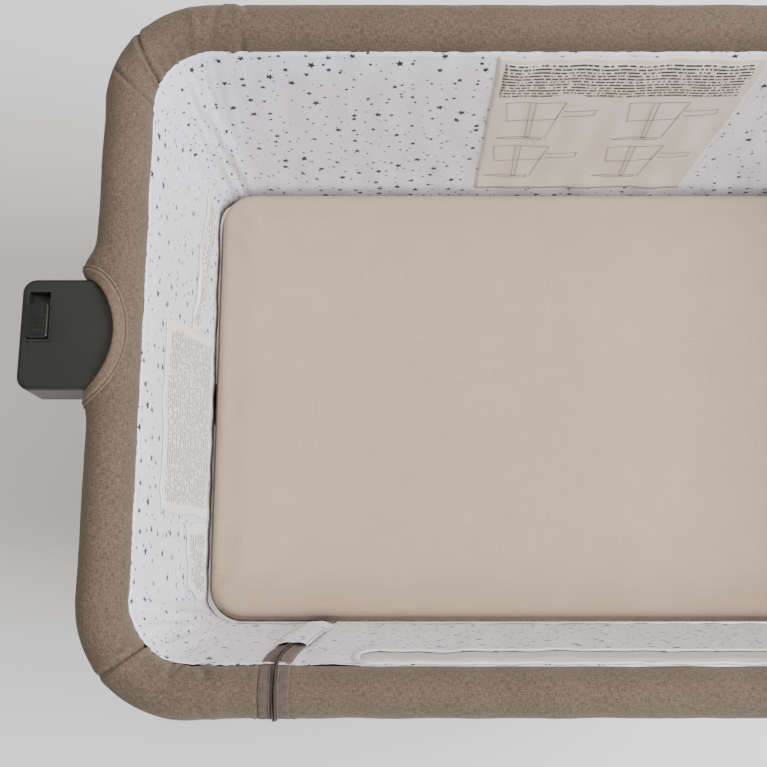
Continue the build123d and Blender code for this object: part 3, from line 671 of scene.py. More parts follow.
@dataclass(frozen=True)
class StarClothFinish(Finish):
    """Smooth pale cloth printed with scattered stars."""

    name: str
    ground: Colour
    ink: Colour

    def material(self) -> bpy.types.Material:
        """Builds the printed cloth's material."""
        material, graph, shader = self.begin(self.name, 0.8)
        uv = graph.add("ShaderNodeUVMap", uv_map="cloth").outputs[0]
        large = self.groups.place(
            graph, GroupKind.STARS, uv, cell=0.021, smallest=0.0017, largest=0.0050, missing=0.08
        )
        moved = graph.add("ShaderNodeVectorMath", operation="ADD")
        graph.feed(moved.inputs[0], uv)
        moved.inputs[1].default_value = (3.17, 1.43, 0.0)
        small = self.groups.place(
            graph, GroupKind.STARS, moved.outputs[0], cell=0.0150, smallest=0.0010, largest=0.0027, missing=0.18
        )
        stars = graph.math("MAXIMUM", large.outputs["Mask"], small.outputs["Mask"])
        threads = self.groups.place(graph, GroupKind.WOVEN, uv, pitch=0.00045, slub=0.02)
        crease = self.groups.place(graph, GroupKind.CREASE, uv, size=0.11)
        tint = graph.mix(
            graph.span(threads.outputs["Tone"], 0.3, 0.7), rgba(tuple(0.94 * c for c in self.ground)), rgba(
                self.ground
            )
        )
        graph.feed(shader.inputs["Base Color"], graph.mix(stars, tint, rgba(self.ink)))
        height = graph.math(
            "ADD",
            graph.math("MULTIPLY", crease.outputs["Height"], 1.0),
            graph.math("MULTIPLY", threads.outputs["Height"], 0.05),
        )
        self.bump(graph, shader, height, 0.0012, 0.5)
        self.sheen(shader, 0.12, (0.9, 0.9, 1.0))
        return material


@dataclass(frozen=True)
class CottonFinish(Finish):
    """Fine plain cotton, on object coordinates or on the piece's own map."""

    name: str
    colour: Colour
    own_map: bool = False
    pitch: float = 0.0005
    crease: float = 0.0006

    def material(self) -> bpy.types.Material:
        """Builds the cotton's material."""
        material, graph, shader = self.begin(self.name, 0.85)
        if self.own_map:
            place = graph.add("ShaderNodeUVMap", uv_map="cloth").outputs[0]
        else:
            place = graph.add("ShaderNodeTexCoord").outputs["Object"]
        threads = self.groups.place(graph, GroupKind.WOVEN, place, pitch=self.pitch, slub=0.03)
        crease = self.groups.place(graph, GroupKind.CREASE, place, size=0.16)
        patch = self.groups.place(graph, GroupKind.GRAIN, place, size=0.001)
        tone = graph.math(
            "ADD", threads.outputs["Tone"], graph.math("MULTIPLY", patch.outputs["Patch"], 0.25)
        )
        pale = rgba(tuple(min(1.0, 1.05 * c) for c in self.colour))
        deep = rgba(tuple(0.92 * c for c in self.colour))
        graph.feed(shader.inputs["Base Color"], graph.mix(graph.span(tone, 0.45, 0.8), deep, pale))
        height = graph.math(
            "ADD", crease.outputs["Height"], graph.math("MULTIPLY", threads.outputs["Height"], 0.12)
        )
        self.bump(graph, shader, height, self.crease, 0.45)
        self.sheen(shader, 0.15, (1.0, 0.95, 0.9))
        return material


@dataclass(frozen=True)
class NetFinish(Finish):
    """White knitted net that shows what is behind it."""

    name: str
    colour: Colour
    hole: float = 0.0016

    def material(self) -> bpy.types.Material:
        """Builds the net's material."""
        material, graph, shader = self.begin(self.name, 0.7)
        uv = graph.add("ShaderNodeUVMap", uv_map="cloth").outputs[0]
        u, v, _ = graph.split(uv)
        row = graph.math("DIVIDE", v, self.hole * 0.86)
        odd = graph.math("MULTIPLY", graph.math("FLOORED_MODULO", graph.math("FLOOR", row), 2.0), 0.5)
        column = graph.math("ADD", graph.math("DIVIDE", u, self.hole), odd)
        du = graph.math("SUBTRACT", graph.math("FRACT", column), 0.5)
        dv = graph.math("SUBTRACT", graph.math("FRACT", row), 0.5)
        away = graph.math(
            "SQRT", graph.math("ADD", graph.math("MULTIPLY", du, du), graph.math("MULTIPLY", dv, dv))
        )
        thread = graph.span(away, 0.22, 0.34)
        graph.feed(shader.inputs["Alpha"], graph.math("MULTIPLY_ADD", thread, 0.52, 0.46))
        tone = graph.noise(uv, 400.0, 2.0)
        shaded = graph.mix(tone, rgba(tuple(0.88 * c for c in self.colour)), rgba(self.colour))
        graph.feed(shader.inputs["Base Color"], shaded)
        self.bump(graph, shader, thread, 0.0003, 0.6)
        return material


@dataclass(frozen=True)
class LabelFinish(Finish):
    """A pale sewn label with plain grey bars in place of any print."""

    name: str
    ground: Colour
    bar: Colour
    line: float
    strength: float

    def material(self) -> bpy.types.Material:
        """Builds the label's material."""
        material, graph, shader = self.begin(self.name, 0.62)
        uv = graph.add("ShaderNodeUVMap", uv_map="cloth").outputs[0]
        u, v, _ = graph.split(uv)
        row = graph.math("DIVIDE", v, self.line)
        band = graph.math("ABSOLUTE", graph.math("SUBTRACT", graph.math("FRACT", row), 0.5))
        stripe = graph.span(band, 0.24, 0.30, 1.0, 0.0)
        cells = graph.join(
            graph.math("DIVIDE", u, self.line * 0.42), graph.math("MULTIPLY", graph.math("FLOOR", row), 7.3)
        )
        broken = graph.span(graph.noise(cells, 0.9, 0.0), 0.38, 0.42)
        ink = graph.math("MULTIPLY", graph.math("MULTIPLY", stripe, broken), self.strength)
        threads = self.groups.place(graph, GroupKind.WOVEN, uv, pitch=0.0004, slub=0.01)
        ground = graph.mix(
            threads.outputs["Tone"], rgba(tuple(0.93 * c for c in self.ground)), rgba(self.ground)
        )
        graph.feed(shader.inputs["Base Color"], graph.mix(ink, ground, rgba(self.bar)))
        crease = self.groups.place(graph, GroupKind.CREASE, uv, size=0.05)
        self.bump(graph, shader, crease.outputs["Height"], 0.0005, 0.4)
        return material


@dataclass(frozen=True)
class MouldedFinish(Finish):
    """Moulded plastic or rubber with a fine texture and rubbed edges."""

    name: str
    colour: Colour
    roughness: float
    grain: float = 0.0005
    depth: float = 0.00006
    wear: float = 0.35

    def material(self) -> bpy.types.Material:
        """Builds the plastic's material."""
        material, graph, shader = self.begin(self.name, self.roughness)
        place = graph.add("ShaderNodeTexCoord").outputs["Object"]
        grain = self.groups.place(graph, GroupKind.GRAIN, place, size=self.grain)
        wear = self.groups.place(graph, GroupKind.WEAR, place, amount=self.wear)
        pale = rgba(tuple(1.9 * c + 0.02 for c in self.colour))
        patchy = graph.mix(
            graph.span(grain.outputs["Patch"], 0.3, 0.75), rgba(tuple(0.88 * c for c in self.colour)), rgba(
                self.colour
            )
        )
        graph.feed(shader.inputs["Base Color"], graph.mix(wear.outputs["Mask"], patchy, pale))
        rough = graph.span(grain.outputs["Patch"], 0.25, 0.8, self.roughness * 0.88, self.roughness * 1.12)
        graph.feed(shader.inputs["Roughness"], rough)
        self.bump(graph, shader, grain.outputs["Height"], self.depth, 0.6)
        return material


@dataclass(frozen=True)
class MetalFinish(Finish):
    """Bare or painted metal, with fine drawing lines or an orange-peel coat."""

    name: str
    colour: Colour
    metallic: float
    roughness: float
    drawn: bool

    def material(self) -> bpy.types.Material:
        """Builds the metal's material."""
        material, graph, shader = self.begin(self.name, self.roughness)
        shader.inputs["Metallic"].default_value = self.metallic
        place = graph.add("ShaderNodeTexCoord").outputs["Object"]
        x, y, z = graph.split(place)
        if self.drawn:
            lines = graph.join(
                graph.math("MULTIPLY", x, 2600.0), graph.math("MULTIPLY", y, 2600.0),
                graph.math("MULTIPLY", z, 18.0)
            )
            height = graph.noise(lines, 1.0, 2.0)
        else:
            height = self.groups.place(graph, GroupKind.GRAIN, place, size=0.0016).outputs["Height"]
        patch = self.groups.place(graph, GroupKind.GRAIN, place, size=0.001)
        wear = self.groups.place(graph, GroupKind.WEAR, place, amount=0.08)
        shade = graph.mix(
            graph.span(patch.outputs["Patch"], 0.2, 0.85), rgba(tuple(0.95 * c for c in self.colour)), rgba(
                self.colour
            )
        )
        bare = rgba(tuple(min(1.0, 1.6 * c + 0.05) for c in self.colour))
        graph.feed(shader.inputs["Base Color"], graph.mix(wear.outputs["Mask"], shade, bare))
        rough = graph.span(height, 0.3, 0.75, self.roughness * 0.92, self.roughness * 1.08)
        graph.feed(shader.inputs["Roughness"], rough)
        self.bump(graph, shader, height, 0.00004, 0.5)
        return material


@dataclass(frozen=True)
class BoardFinish(Finish):
    """Raw fibreboard."""

    name: str
    dark: Colour
    light: Colour

    def material(self) -> bpy.types.Material:
        """Builds the board's material."""
        material, graph, shader = self.begin(self.name, 0.8)
        place = graph.add("ShaderNodeTexCoord").outputs["Object"]
        flecks = graph.noise(place, 350.0, 6.0)
        clouds = graph.noise(place, 12.0, 4.0)
        level = graph.math("ADD", graph.math("MULTIPLY", flecks, 0.7), graph.math("MULTIPLY", clouds, 0.3))
        graph.feed(
            shader.inputs["Base Color"],
            graph.mix(graph.span(level, 0.35, 0.65), rgba(self.dark), rgba(self.light))
        )
        self.bump(graph, shader, flecks, 0.0002, 0.5)
        return material


class Wardrobe:
    """Every material of the bassinet, made once."""

    def __init__(self) -> None:
        """Builds the shared groups and the materials."""
        Finish.groups = ShaderGroups()
        self.sleeve = MelangeFinish("melange_sleeve", (0.040, 0.026, 0.016), (0.176, 0.125, 0.083)).material()
        self.binding = MelangeFinish(
            "binding_twill", (0.075, 0.047, 0.031), (0.215, 0.152, 0.108), pitch=0.0007, slub=0.004
        ).material()
        self.lining = StarClothFinish("star_lining", (0.80, 0.79, 0.85), (0.015, 0.017, 0.035)).material()
        self.sheet = CottonFinish("cotton_sheet", (0.415, 0.305, 0.225)).material()
        self.net = NetFinish("white_net", (0.86, 0.84, 0.84)).material()
        self.white_tape = CottonFinish(
            "white_tape", (0.78, 0.76, 0.76), own_map=True, crease=0.0003
        ).material()
        self.far_label = LabelFinish(
            "far_label", (0.72, 0.665, 0.575), (0.20, 0.19, 0.18), 0.0044, 0.0
        ).material()
        self.bars = LabelFinish(
            "label_bars", (0.72, 0.665, 0.575), (0.05, 0.05, 0.05), 0.0047, 1.0
        ).material()
        self.side_label = LabelFinish(
            "side_label", (0.88, 0.88, 0.83), (0.22, 0.22, 0.22), 0.0042, 0.0
        ).material()
        self.side_bars = LabelFinish(
            "side_label_bars", (0.88, 0.88, 0.83), (0.20, 0.20, 0.20), 0.0068, 0.85
        ).material()
        self.zip_tape = MelangeFinish(
            "zip_tape", (0.055, 0.037, 0.030), (0.130, 0.096, 0.081), pitch=0.0006, slub=0.006
        ).material()
        self.zip_teeth = MouldedFinish("zip_coil", (0.045, 0.028, 0.022), 0.35, wear=0.0).material()
        self.thread = MelangeFinish(
            "sewing_thread", (0.16, 0.11, 0.08), (0.36, 0.28, 0.21), pitch=0.0003
        ).material()
        self.pale_thread = CottonFinish("pale_thread", (0.75, 0.74, 0.78), crease=0.0001).material()
        self.housing = MouldedFinish("charcoal_plastic", (0.010, 0.011, 0.008), 0.5).material()
        self.button = MouldedFinish("button_plastic", (0.011, 0.013, 0.012), 0.24, depth=0.00002).material()
        self.plug = MouldedFinish("plug_plastic", (0.02, 0.02, 0.02), 0.5).material()
        self.rubber = MouldedFinish(
            "pad_rubber", (0.022, 0.022, 0.022), 0.75, grain=0.0009, wear=0.1
        ).material()
        self.upper_paint = MetalFinish("satin_anthracite", (0.055, 0.058, 0.055), 0.0, 0.42, False).material()
        self.steel_paint = MetalFinish("powder_coat", (0.16, 0.16, 0.165), 0.0, 0.48, False).material()
        self.aluminium = MetalFinish("satin_aluminium", (0.62, 0.62, 0.63), 1.0, 0.34, True).material()
        self.zinc = MetalFinish("zinc_steel", (0.58, 0.58, 0.60), 1.0, 0.3, True).material()
        self.board = BoardFinish("fibreboard", (0.30, 0.21, 0.13), (0.52, 0.39, 0.26)).material()


# ---------------------------------------------------------------- repeats along a path


class Repeater:
    """A Geometry Nodes tree that sets small blocks along a curve, such as stitches or zip teeth."""

    def __init__(self) -> None:
        """Builds the tree with its named inputs."""
        tree = bpy.data.node_groups.new("blocks_along_path", "GeometryNodeTree")
        face = tree.interface
        face.new_socket("Geometry", in_out="INPUT", socket_type="NodeSocketGeometry")
        self.sockets = {}
        for name in ("Pitch", "Length", "Width", "Height"):
            self.sockets[name] = face.new_socket(name, in_out="INPUT", socket_type="NodeSocketFloat").identifier
        item = face.new_socket("Material", in_out="INPUT", socket_type="NodeSocketMaterial")
        self.sockets["Material"] = item.identifier
        face.new_socket("Geometry", in_out="OUTPUT", socket_type="NodeSocketGeometry")
        graph = Graph(tree)
        given, out = graph.add("NodeGroupInput"), graph.add("NodeGroupOutput")
        evenly = graph.add("GeometryNodeResampleCurve", mode="LENGTH")
        graph.feed(evenly.inputs["Curve"], given.outputs["Geometry"])
        graph.feed(evenly.inputs["Length"], given.outputs["Pitch"])
        block = graph.add("GeometryNodeMeshCylinder")
        block.inputs["Vertices"].default_value = 8
        block.inputs["Radius"].default_value = 0.5
        block.inputs["Depth"].default_value = 1.0
        size = graph.add("ShaderNodeCombineXYZ")
        for target, name in zip(size.inputs, ("Width", "Height", "Length")):
            graph.feed(target, given.outputs[name])
        normal = graph.add("GeometryNodeInputNormal")
        tangent = graph.add("GeometryNodeInputTangent")
        turn = graph.add("FunctionNodeAxesToRotation", primary_axis="Z", secondary_axis="Y")
        graph.feed(turn.inputs["Primary Axis"], tangent.outputs[0])
        graph.feed(turn.inputs["Secondary Axis"], normal.outputs[0])
        copies = graph.add("GeometryNodeInstanceOnPoints")
        graph.feed(copies.inputs["Points"], evenly.outputs[0])
        graph.feed(copies.inputs["Instance"], block.outputs["Mesh"])
        graph.feed(copies.inputs["Rotation"], turn.outputs[0])
        graph.feed(copies.inputs["Scale"], size.outputs[0])
        real = graph.add("GeometryNodeRealizeInstances")
        graph.feed(real.inputs[0], copies.outputs[0])
        dressed = graph.add("GeometryNodeSetMaterial")
        graph.feed(dressed.inputs["Geometry"], real.outputs[0])
        graph.feed(dressed.inputs["Material"], given.outputs["Material"])
        graph.feed(out.inputs[0], dressed.outputs[0])
        self.tree = tree

    def run(
        self,
        name: str,
        paths: Sequence[np.ndarray],
        pitch: float,
        size: tuple[float, float, float],
        material: bpy.types.Material,
        cyclic: bool = False,
    ) -> bpy.types.Object:
        """Sets blocks along one or more paths and returns them as one plain mesh.

        Args:
            name: The piece's name.
            paths: Point lists, each rows by 3.
            pitch: Distance from block to block.
            size: Each block's length, width and height.
            material: The blocks' material.
            cyclic: Whether the paths close on themselves.

        Returns:
            The finished object.
        """
        curve = bpy.data.curves.new(name + "_path", "CURVE")
        curve.dimensions = "3D"
        curve.twist_mode = "MINIMUM"
        for path in paths:
            spline = curve.splines.new("POLY")
            spline.points.add(len(path) - 1)
            spline.points.foreach_set("co", np.c_[path, np.ones(len(path))].ravel())
            spline.use_cyclic_u = cyclic
        carrier = bpy.data.objects.new(name + "_carrier", curve)
        bpy.context.collection.objects.link(carrier)
        modifier = carrier.modifiers.new("blocks", "NODES")
        modifier.node_group = self.tree
        for key, value in zip(("Pitch", "Length", "Width", "Height"), (pitch, *size)):
            modifier[self.sockets[key]] = float(value)
        modifier[self.sockets["Material"]] = material
        graph = bpy.context.evaluated_depsgraph_get()
        mesh = bpy.data.meshes.new_from_object(carrier.evaluated_get(graph))
        bpy.data.objects.remove(carrier)
        bpy.data.curves.remove(curve)
        mesh.name = name
        mesh.shade_smooth()
        piece = bpy.data.objects.new(name, mesh)
        bpy.context.collection.objects.link(piece)
        return piece


# ---------------------------------------------------------------- rail sleeve


@dataclass(frozen=True)
class Seam:
    """A sewn line across the sleeve."""

    s: float
    depth: float
    slant: float = 0.0
    from_phi: float = 0.0
    to_phi: float = TAU


class RailSleeve:
    """The padded cloth sleeve round the top rail, with its seams, puckers and bound cut-outs."""

    cut_chord: float = 0.105
    cut_depth: float = 0.025
    cloth: float = 0.0012
    step: float = 0.003
    fine_step: float = 0.0008
    columns: int = 56
    band: float = 0.0088

    def __init__(self, layout: Layout, path: RailPath, wardrobe: Wardrobe, repeater: Repeater) -> None:
        """Keeps what the sleeve follows.

        Args:
            layout: The sizes.
            path: The rail's centre line.
            wardrobe: The materials.
            repeater: The stitch maker.
        """
        self.layout, self.path, self.wardrobe, self.repeater = layout, path, wardrobe, repeater
        near_left, far_left, far_right, near_right = path.corners
        half = path.corner_half
        over = (0.2 * math.pi, 1.3 * math.pi)
        self.seams = [
            Seam(near_left + 0.04 * half, 0.0026, 0.06 * half),
            Seam(far_left - 0.24 * half, 0.0028, 0.24 * half),
            Seam(far_left - 0.80 * half, 0.0021, 0.26 * half, *over),
            Seam(far_right + 0.24 * half, 0.0028, -0.24 * half),
            Seam(far_right + 0.80 * half, 0.0021, -0.26 * half, *over),
            Seam(near_right - 0.04 * half, 0.0026, -0.06 * half),
        ]
        rng = np.random.default_rng(41)
        self.folds = []
        for corner, side in ((far_left, 1), (far_right, -1), (near_left, -1), (near_right, 1)):
            for _ in range(9):
                self.folds.append(
                    (
                        corner + side * rng.uniform(0.35, 1.5) * half,
                        rng.uniform(0.2, 1.15) * math.pi,
                        rng.uniform(0.0022, 0.0042),
                        rng.uniform(0.35, 0.9),
                        rng.uniform(0.0010, 0.0023) * rng.choice([-1.0, 1.0]),
                        rng.uniform(-0.012, 0.012),
                    )
                )

    def cut_half_angle(self, s: np.ndarray) -> np.ndarray:
        """How far round from the outermost line the cut-out reaches, in radians.

        Args:
            s: Distances along the rail.

        Returns:
            The angle, 0 where there is no cut-out.
        """
        arc_r = (self.cut_chord**2 / 4 + self.cut_depth**2) / (2 * self.cut_depth)
        depth = np.zeros_like(s)
        for middle in (self.path.left_middle, self.path.right_middle):
            away = np.abs(s - middle)
            inside = away < self.cut_chord / 2
            curve = np.sqrt(np.maximum(arc_r**2 - away**2, 0.0)) - (arc_r - self.cut_depth)
            depth = np.where(inside, curve, depth)
        return np.arccos(np.clip(1 - depth / self.layout.sleeve_r, -1.0, 1.0))

    def radius(self, s: Number, phi: Number) -> Number:
        """The sleeve's radius, with its unevenness, puckers and seams.

        Args:
            s: Distance along the rail.
            phi: Angle round the rail, 0 outwards and a quarter turn upwards.

        Returns:
            The radius in metres.
        """
        layout, path = self.layout, self.path
        r = layout.sleeve_r + 0.0004 * ripple(s / 0.09, phi / 2.6, 3) + 0.00015 * ripple(
            s / 0.025, phi / 1.3, 5
        )
        near_side = ease(s, path.fixed_end - 0.12, path.fixed_end + 0.05) + ease(-s, -0.08, 0.0)
        r = r - 0.0013 * np.clip(near_side, 0.0, 1.0)
        inner = np.clip(-np.cos(phi), 0.0, 1.0)
        for number, corner in enumerate(path.corners):
            away = s - corner
            window = hump(away, path.corner_half * 0.75)
            waves = 0.5 + 0.5 * np.cos(TAU * away / 0.0135 + 1.1 * np.sin(1.7 * phi + number))
            r = r - 0.0011 * window * inner * waves
            r = r + 0.0007 * window * (1 - inner)
        for seam in self.seams:
            away = s - seam.s - seam.slant * np.cos(phi)
            part = ease(phi, seam.from_phi - 0.2, seam.from_phi + 0.1) * ease(
                -phi, -seam.to_phi - 0.2, -seam.to_phi + 0.1
            )
            if seam.from_phi == 0.0:
                part = 1.0
            part = part * (1 - 0.65 * np.clip(np.cos(phi), 0.0, 1.0))
            r = r - part * (seam.depth * hump(away, 0.0016) - 0.0009 * hump(np.abs(away) - 0.0055, 0.0032))
        for s0, phi0, width, spread, height, slant in self.folds:
            along = s - s0 - slant * (phi - phi0)
            r = r + height * hump(along, width) * hump(phi - phi0, spread)
        middle = path.left_middle
        tips = ((middle + 0.062, 0.0100), (middle - 0.055, 0.0026))
        mirrored = ((path.right_middle - 0.062, 0.0100), (path.right_middle + 0.055, 0.0026))
        for tip, swell in tips + mirrored:
            turn = np.abs(np.mod(phi + math.pi, TAU) - math.pi)
            r = r + swell * hump(s - tip, 0.014) * hump(turn, 0.85)
        for end in (0.0, path.fixed_end, path.total):
            away = np.abs(s - end)
            r = r + 0.0007 * hump(away - 0.0155, 0.0022) - 0.0006 * hump(away, 0.010)
        return r

    def surface(self, s: Number, phi: Number, lift: Number = 0.0) -> np.ndarray:
        """Places on the sleeve's outside.

        Args:
            s: Distances along the rail.
            phi: Angles round it.
            lift: Height above the cloth.

        Returns:
            The places, last axis X, Y and Z.
        """
        s, phi = np.broadcast_arrays(np.asarray(s, float), np.asarray(phi, float))
        place, normal, _ = self.path.at(s)
        reach = self.radius(s, phi) + lift
        out = reach * np.cos(phi)
        x = place[..., 0] + out * normal[..., 0]
        y = place[..., 1] + out * normal[..., 1]
        z = self.layout.rail_z + reach * np.sin(phi)
        return np.stack([x, y, z], -1)

    def stations(self, start: float, end: float) -> np.ndarray:
        """Where the sleeve's rows go: evenly, and close together across each seam.

        Args:
            start: Where the sleeve starts along the rail.
            end: Where it ends.

        Returns:
            The rows' distances along the rail, in order.
        """
        rows = [np.linspace(start, end, max(8, int((end - start) / self.step)))]
        for seam in self.seams:
            reach = abs(seam.slant) + 0.006
            rows.append(np.arange(seam.s - reach, seam.s + reach, self.fine_step))
        s = np.sort(np.concatenate(rows))
        s = s[(s >= start) & (s <= end)]
        s = s[np.concatenate([[True], np.diff(s) > self.fine_step / 2])]
        s[-1] = end
        return s

    def tube(self, name: str, start: float, end: float) -> bpy.types.Object:
        """One length of sleeve, turned in at both ends.

        Args:
            name: The piece's name.
            start: Where it starts along the rail.
            end: Where it ends.

        Returns:
            The piece.
        """
        s = self.stations(start, end)
        edge = self.cut_half_angle(s)
        part = np.linspace(0.0, 1.0, self.columns + 1)
        phi = edge[:, None] + part[None, :] * (TAU - 2 * edge[:, None])
        points = self.surface(s[:, None], phi)
        uv = np.stack([np.broadcast_to(s[:, None], phi.shape), phi * self.layout.sleeve_r], -1)
        tucks = []
        for row, inward in ((0, 1), (-1, -1)):
            for drop in (0.0016, 0.0045, 0.0085):
                tucks.append((row, self.surface(s[row], phi[row], -drop), uv[row] + (inward * drop, 0)))
        first = [item for item in tucks if item[0] == 0][::-1]
        last = [item for item in tucks if item[0] == -1]
        points = np.concatenate([[p for _, p, _ in first], points, [p for _, p, _ in last]])
        uv = np.concatenate([[m for _, _, m in first], uv, [m for _, _, m in last]])
        piece = grid_piece(name, points, uv, weld=0.00002, flip=True)
        thicken(piece, self.cloth)
        return piece

    def cut_loop(self, middle: float) -> tuple[np.ndarray, np.ndarray]:
        """The cut-out's edge on the flattened sleeve, as distances along and round the rail.

        Args:
            middle: The cut-out's middle along the rail.

        Returns:
            Points of the closed edge and their directions into the cloth.
        """
        half = self.cut_chord / 2
        turn = np.linspace(0, math.pi, 46)
        s = middle + half * np.cos(turn)
        width = self.cut_half_angle(np.clip(s, middle - half * 0.9995, middle + half * 0.9995)) * self.layout.sleeve_r
        top = np.stack([s, width], -1)
        bottom = np.stack([s[::-1], -width[::-1]], -1)
        loop = np.concatenate([top, bottom[1:-1]])
        ahead = np.roll(loop, -1, 0) - np.roll(loop, 1, 0)
        for _ in range(3):
            ahead = (np.roll(ahead, 1, 0) + 2 * ahead + np.roll(ahead, -1, 0)) / 4
        ahead /= np.linalg.norm(ahead, axis=1, keepdims=True)
        into = np.stack([ahead[:, 1], -ahead[:, 0]], -1)
        outward = loop - np.array([middle, 0.0])
        into *= np.sign((into * outward).sum(1))[:, None]
        return loop, into

    def on_flat(self, flat: np.ndarray, lift: Number) -> np.ndarray:
        """Places on the sleeve from distances along and round the rail."""
        return self.surface(flat[..., 0], flat[..., 1] / self.layout.sleeve_r, lift)

    def binding(self, name: str, middle: float) -> tuple[bpy.types.Object, np.ndarray, np.ndarray]:
        """The folded tape that binds one cut-out.

        Args:
            name: The piece's name.
            middle: The cut-out's middle along the rail.

        Returns:
            The piece, and the paths of its stitching and of the piping beside it.
        """
        loop, into = self.cut_loop(middle)
        profile = [(0.0012, -0.0016), (-0.0008, -0.0014), (-0.0016, 0.0), (-0.0010, 0.0013), (0.0008, 0.0019)]
        profile += [(0.0035, 0.0019), (0.0062, 0.0018), (self.band - 0.0006, 0.0016), (self.band, 0.0004)]
        inset = np.array([p[0] for p in profile])
        lift = np.array([p[1] for p in profile])
        flat = loop[:, None, :] + into[:, None, :] * inset[None, :, None]
        points = self.on_flat(flat, lift[None, :])
        points = np.concatenate([points, points[:1]])
        steps = np.linalg.norm(np.diff(points[:, 0], axis=0), axis=1)
        along = np.concatenate([[0.0], np.cumsum(steps)])
        uv = np.stack(np.broadcast_arrays(along[:, None], inset[None, :] * 1.0), -1)
        piece = grid_piece(name, points, uv, weld=0.00002)
        thicken(piece, 0.0006)
        stitches = self.on_flat(loop + into * (self.band - 0.0022), 0.0021)
        piping = self.on_flat(loop + into * (self.band + 0.0011), 0.0004)
        return piece, stitches, piping

    def cord_round(self, name: str, path: np.ndarray, radius: float) -> bpy.types.Object:
        """A thin sewn-in piping that follows a closed path.

        Args:
            name: The piece's name.
            path: Points of the closed path.
            radius: The piping's radius.

        Returns:
            The piece, a closed ring.
        """
        ahead = np.roll(path, -1, 0) - np.roll(path, 1, 0)
        ahead /= np.linalg.norm(ahead, axis=1, keepdims=True)
        side = np.cross(ahead, (0.0, 0.0, 1.0))
        side /= np.maximum(np.linalg.norm(side, axis=1, keepdims=True), 1e-6)
        up = np.cross(side, ahead)
        angle = np.linspace(0, TAU, 9)
        ring = path[:, None] + radius * (
            np.cos(angle)[None, :, None] * side[:, None] + np.sin(angle)[None, :, None] * up[:, None]
        )
        ring = np.concatenate([ring, ring[:1]])
        steps = np.linalg.norm(np.diff(ring[:, 0], axis=0), axis=1)
        along = np.concatenate([[0.0], np.cumsum(steps)])
        uv = np.stack(np.broadcast_arrays(along[:, None], angle[None, :] * radius), -1)
        return grid_piece(name, ring, uv, weld=0.00001)

    def build(self) -> None:
        """Makes the sleeves, their bindings and their stitching."""
        path, cloth = self.path, self.wardrobe
        fixed = self.tube("rail_sleeve", 0.0006, path.fixed_end - 0.0006)
        nodes = ("left_end_sleeve", "far_sleeve", "right_end_sleeve")
        finish_piece(fixed, cloth.sleeve, Body.TUB, "sleeve_fabric", *nodes)
        drop = self.tube("drop_rail_sleeve", path.fixed_end + 0.0006, path.total - 0.0006)
        finish_piece(drop, cloth.sleeve, Body.DROP, "sleeve_fabric", "drop_sleeve")
        stitches = []
        for end, middle in ((End.LEFT, path.left_middle), (End.RIGHT, path.right_middle)):
            label = end.name.lower()
            band, sewing, piping = self.binding(f"{label}_cutout_binding", middle)
            finish_piece(band, cloth.binding, Body.TUB, "sleeve_fabric")
            cord = self.cord_round(f"{label}_cutout_piping", piping, 0.0011)
            finish_piece(cord, cloth.binding, Body.TUB, "sleeve_fabric")
            stitches.append(np.concatenate([sewing, sewing[:1]]))
        sewn = self.repeater.run("cutout_stitching", stitches, 0.0034, (0.0023, 0.0006, 0.0004), cloth.thread)
        finish_piece(sewn, cloth.thread, Body.TUB, "sleeve_fabric")
        rows = []
        for seam in self.seams:
            if seam.from_phi:
                continue
            phi = np.linspace(0, TAU, 70)
            for side in (-0.0042, 0.0042):
                s = seam.s + side + seam.slant * np.cos(phi)
                rows.append(self.surface(s, phi, 0.0002))
        sewn = self.repeater.run("mitre_stitching", rows, 0.0036, (0.0024, 0.0005, 0.0004), cloth.thread)
        finish_piece(sewn, cloth.thread, Body.TUB, "sleeve_fabric")


# ---------------------------------------------------------------- cloth walls


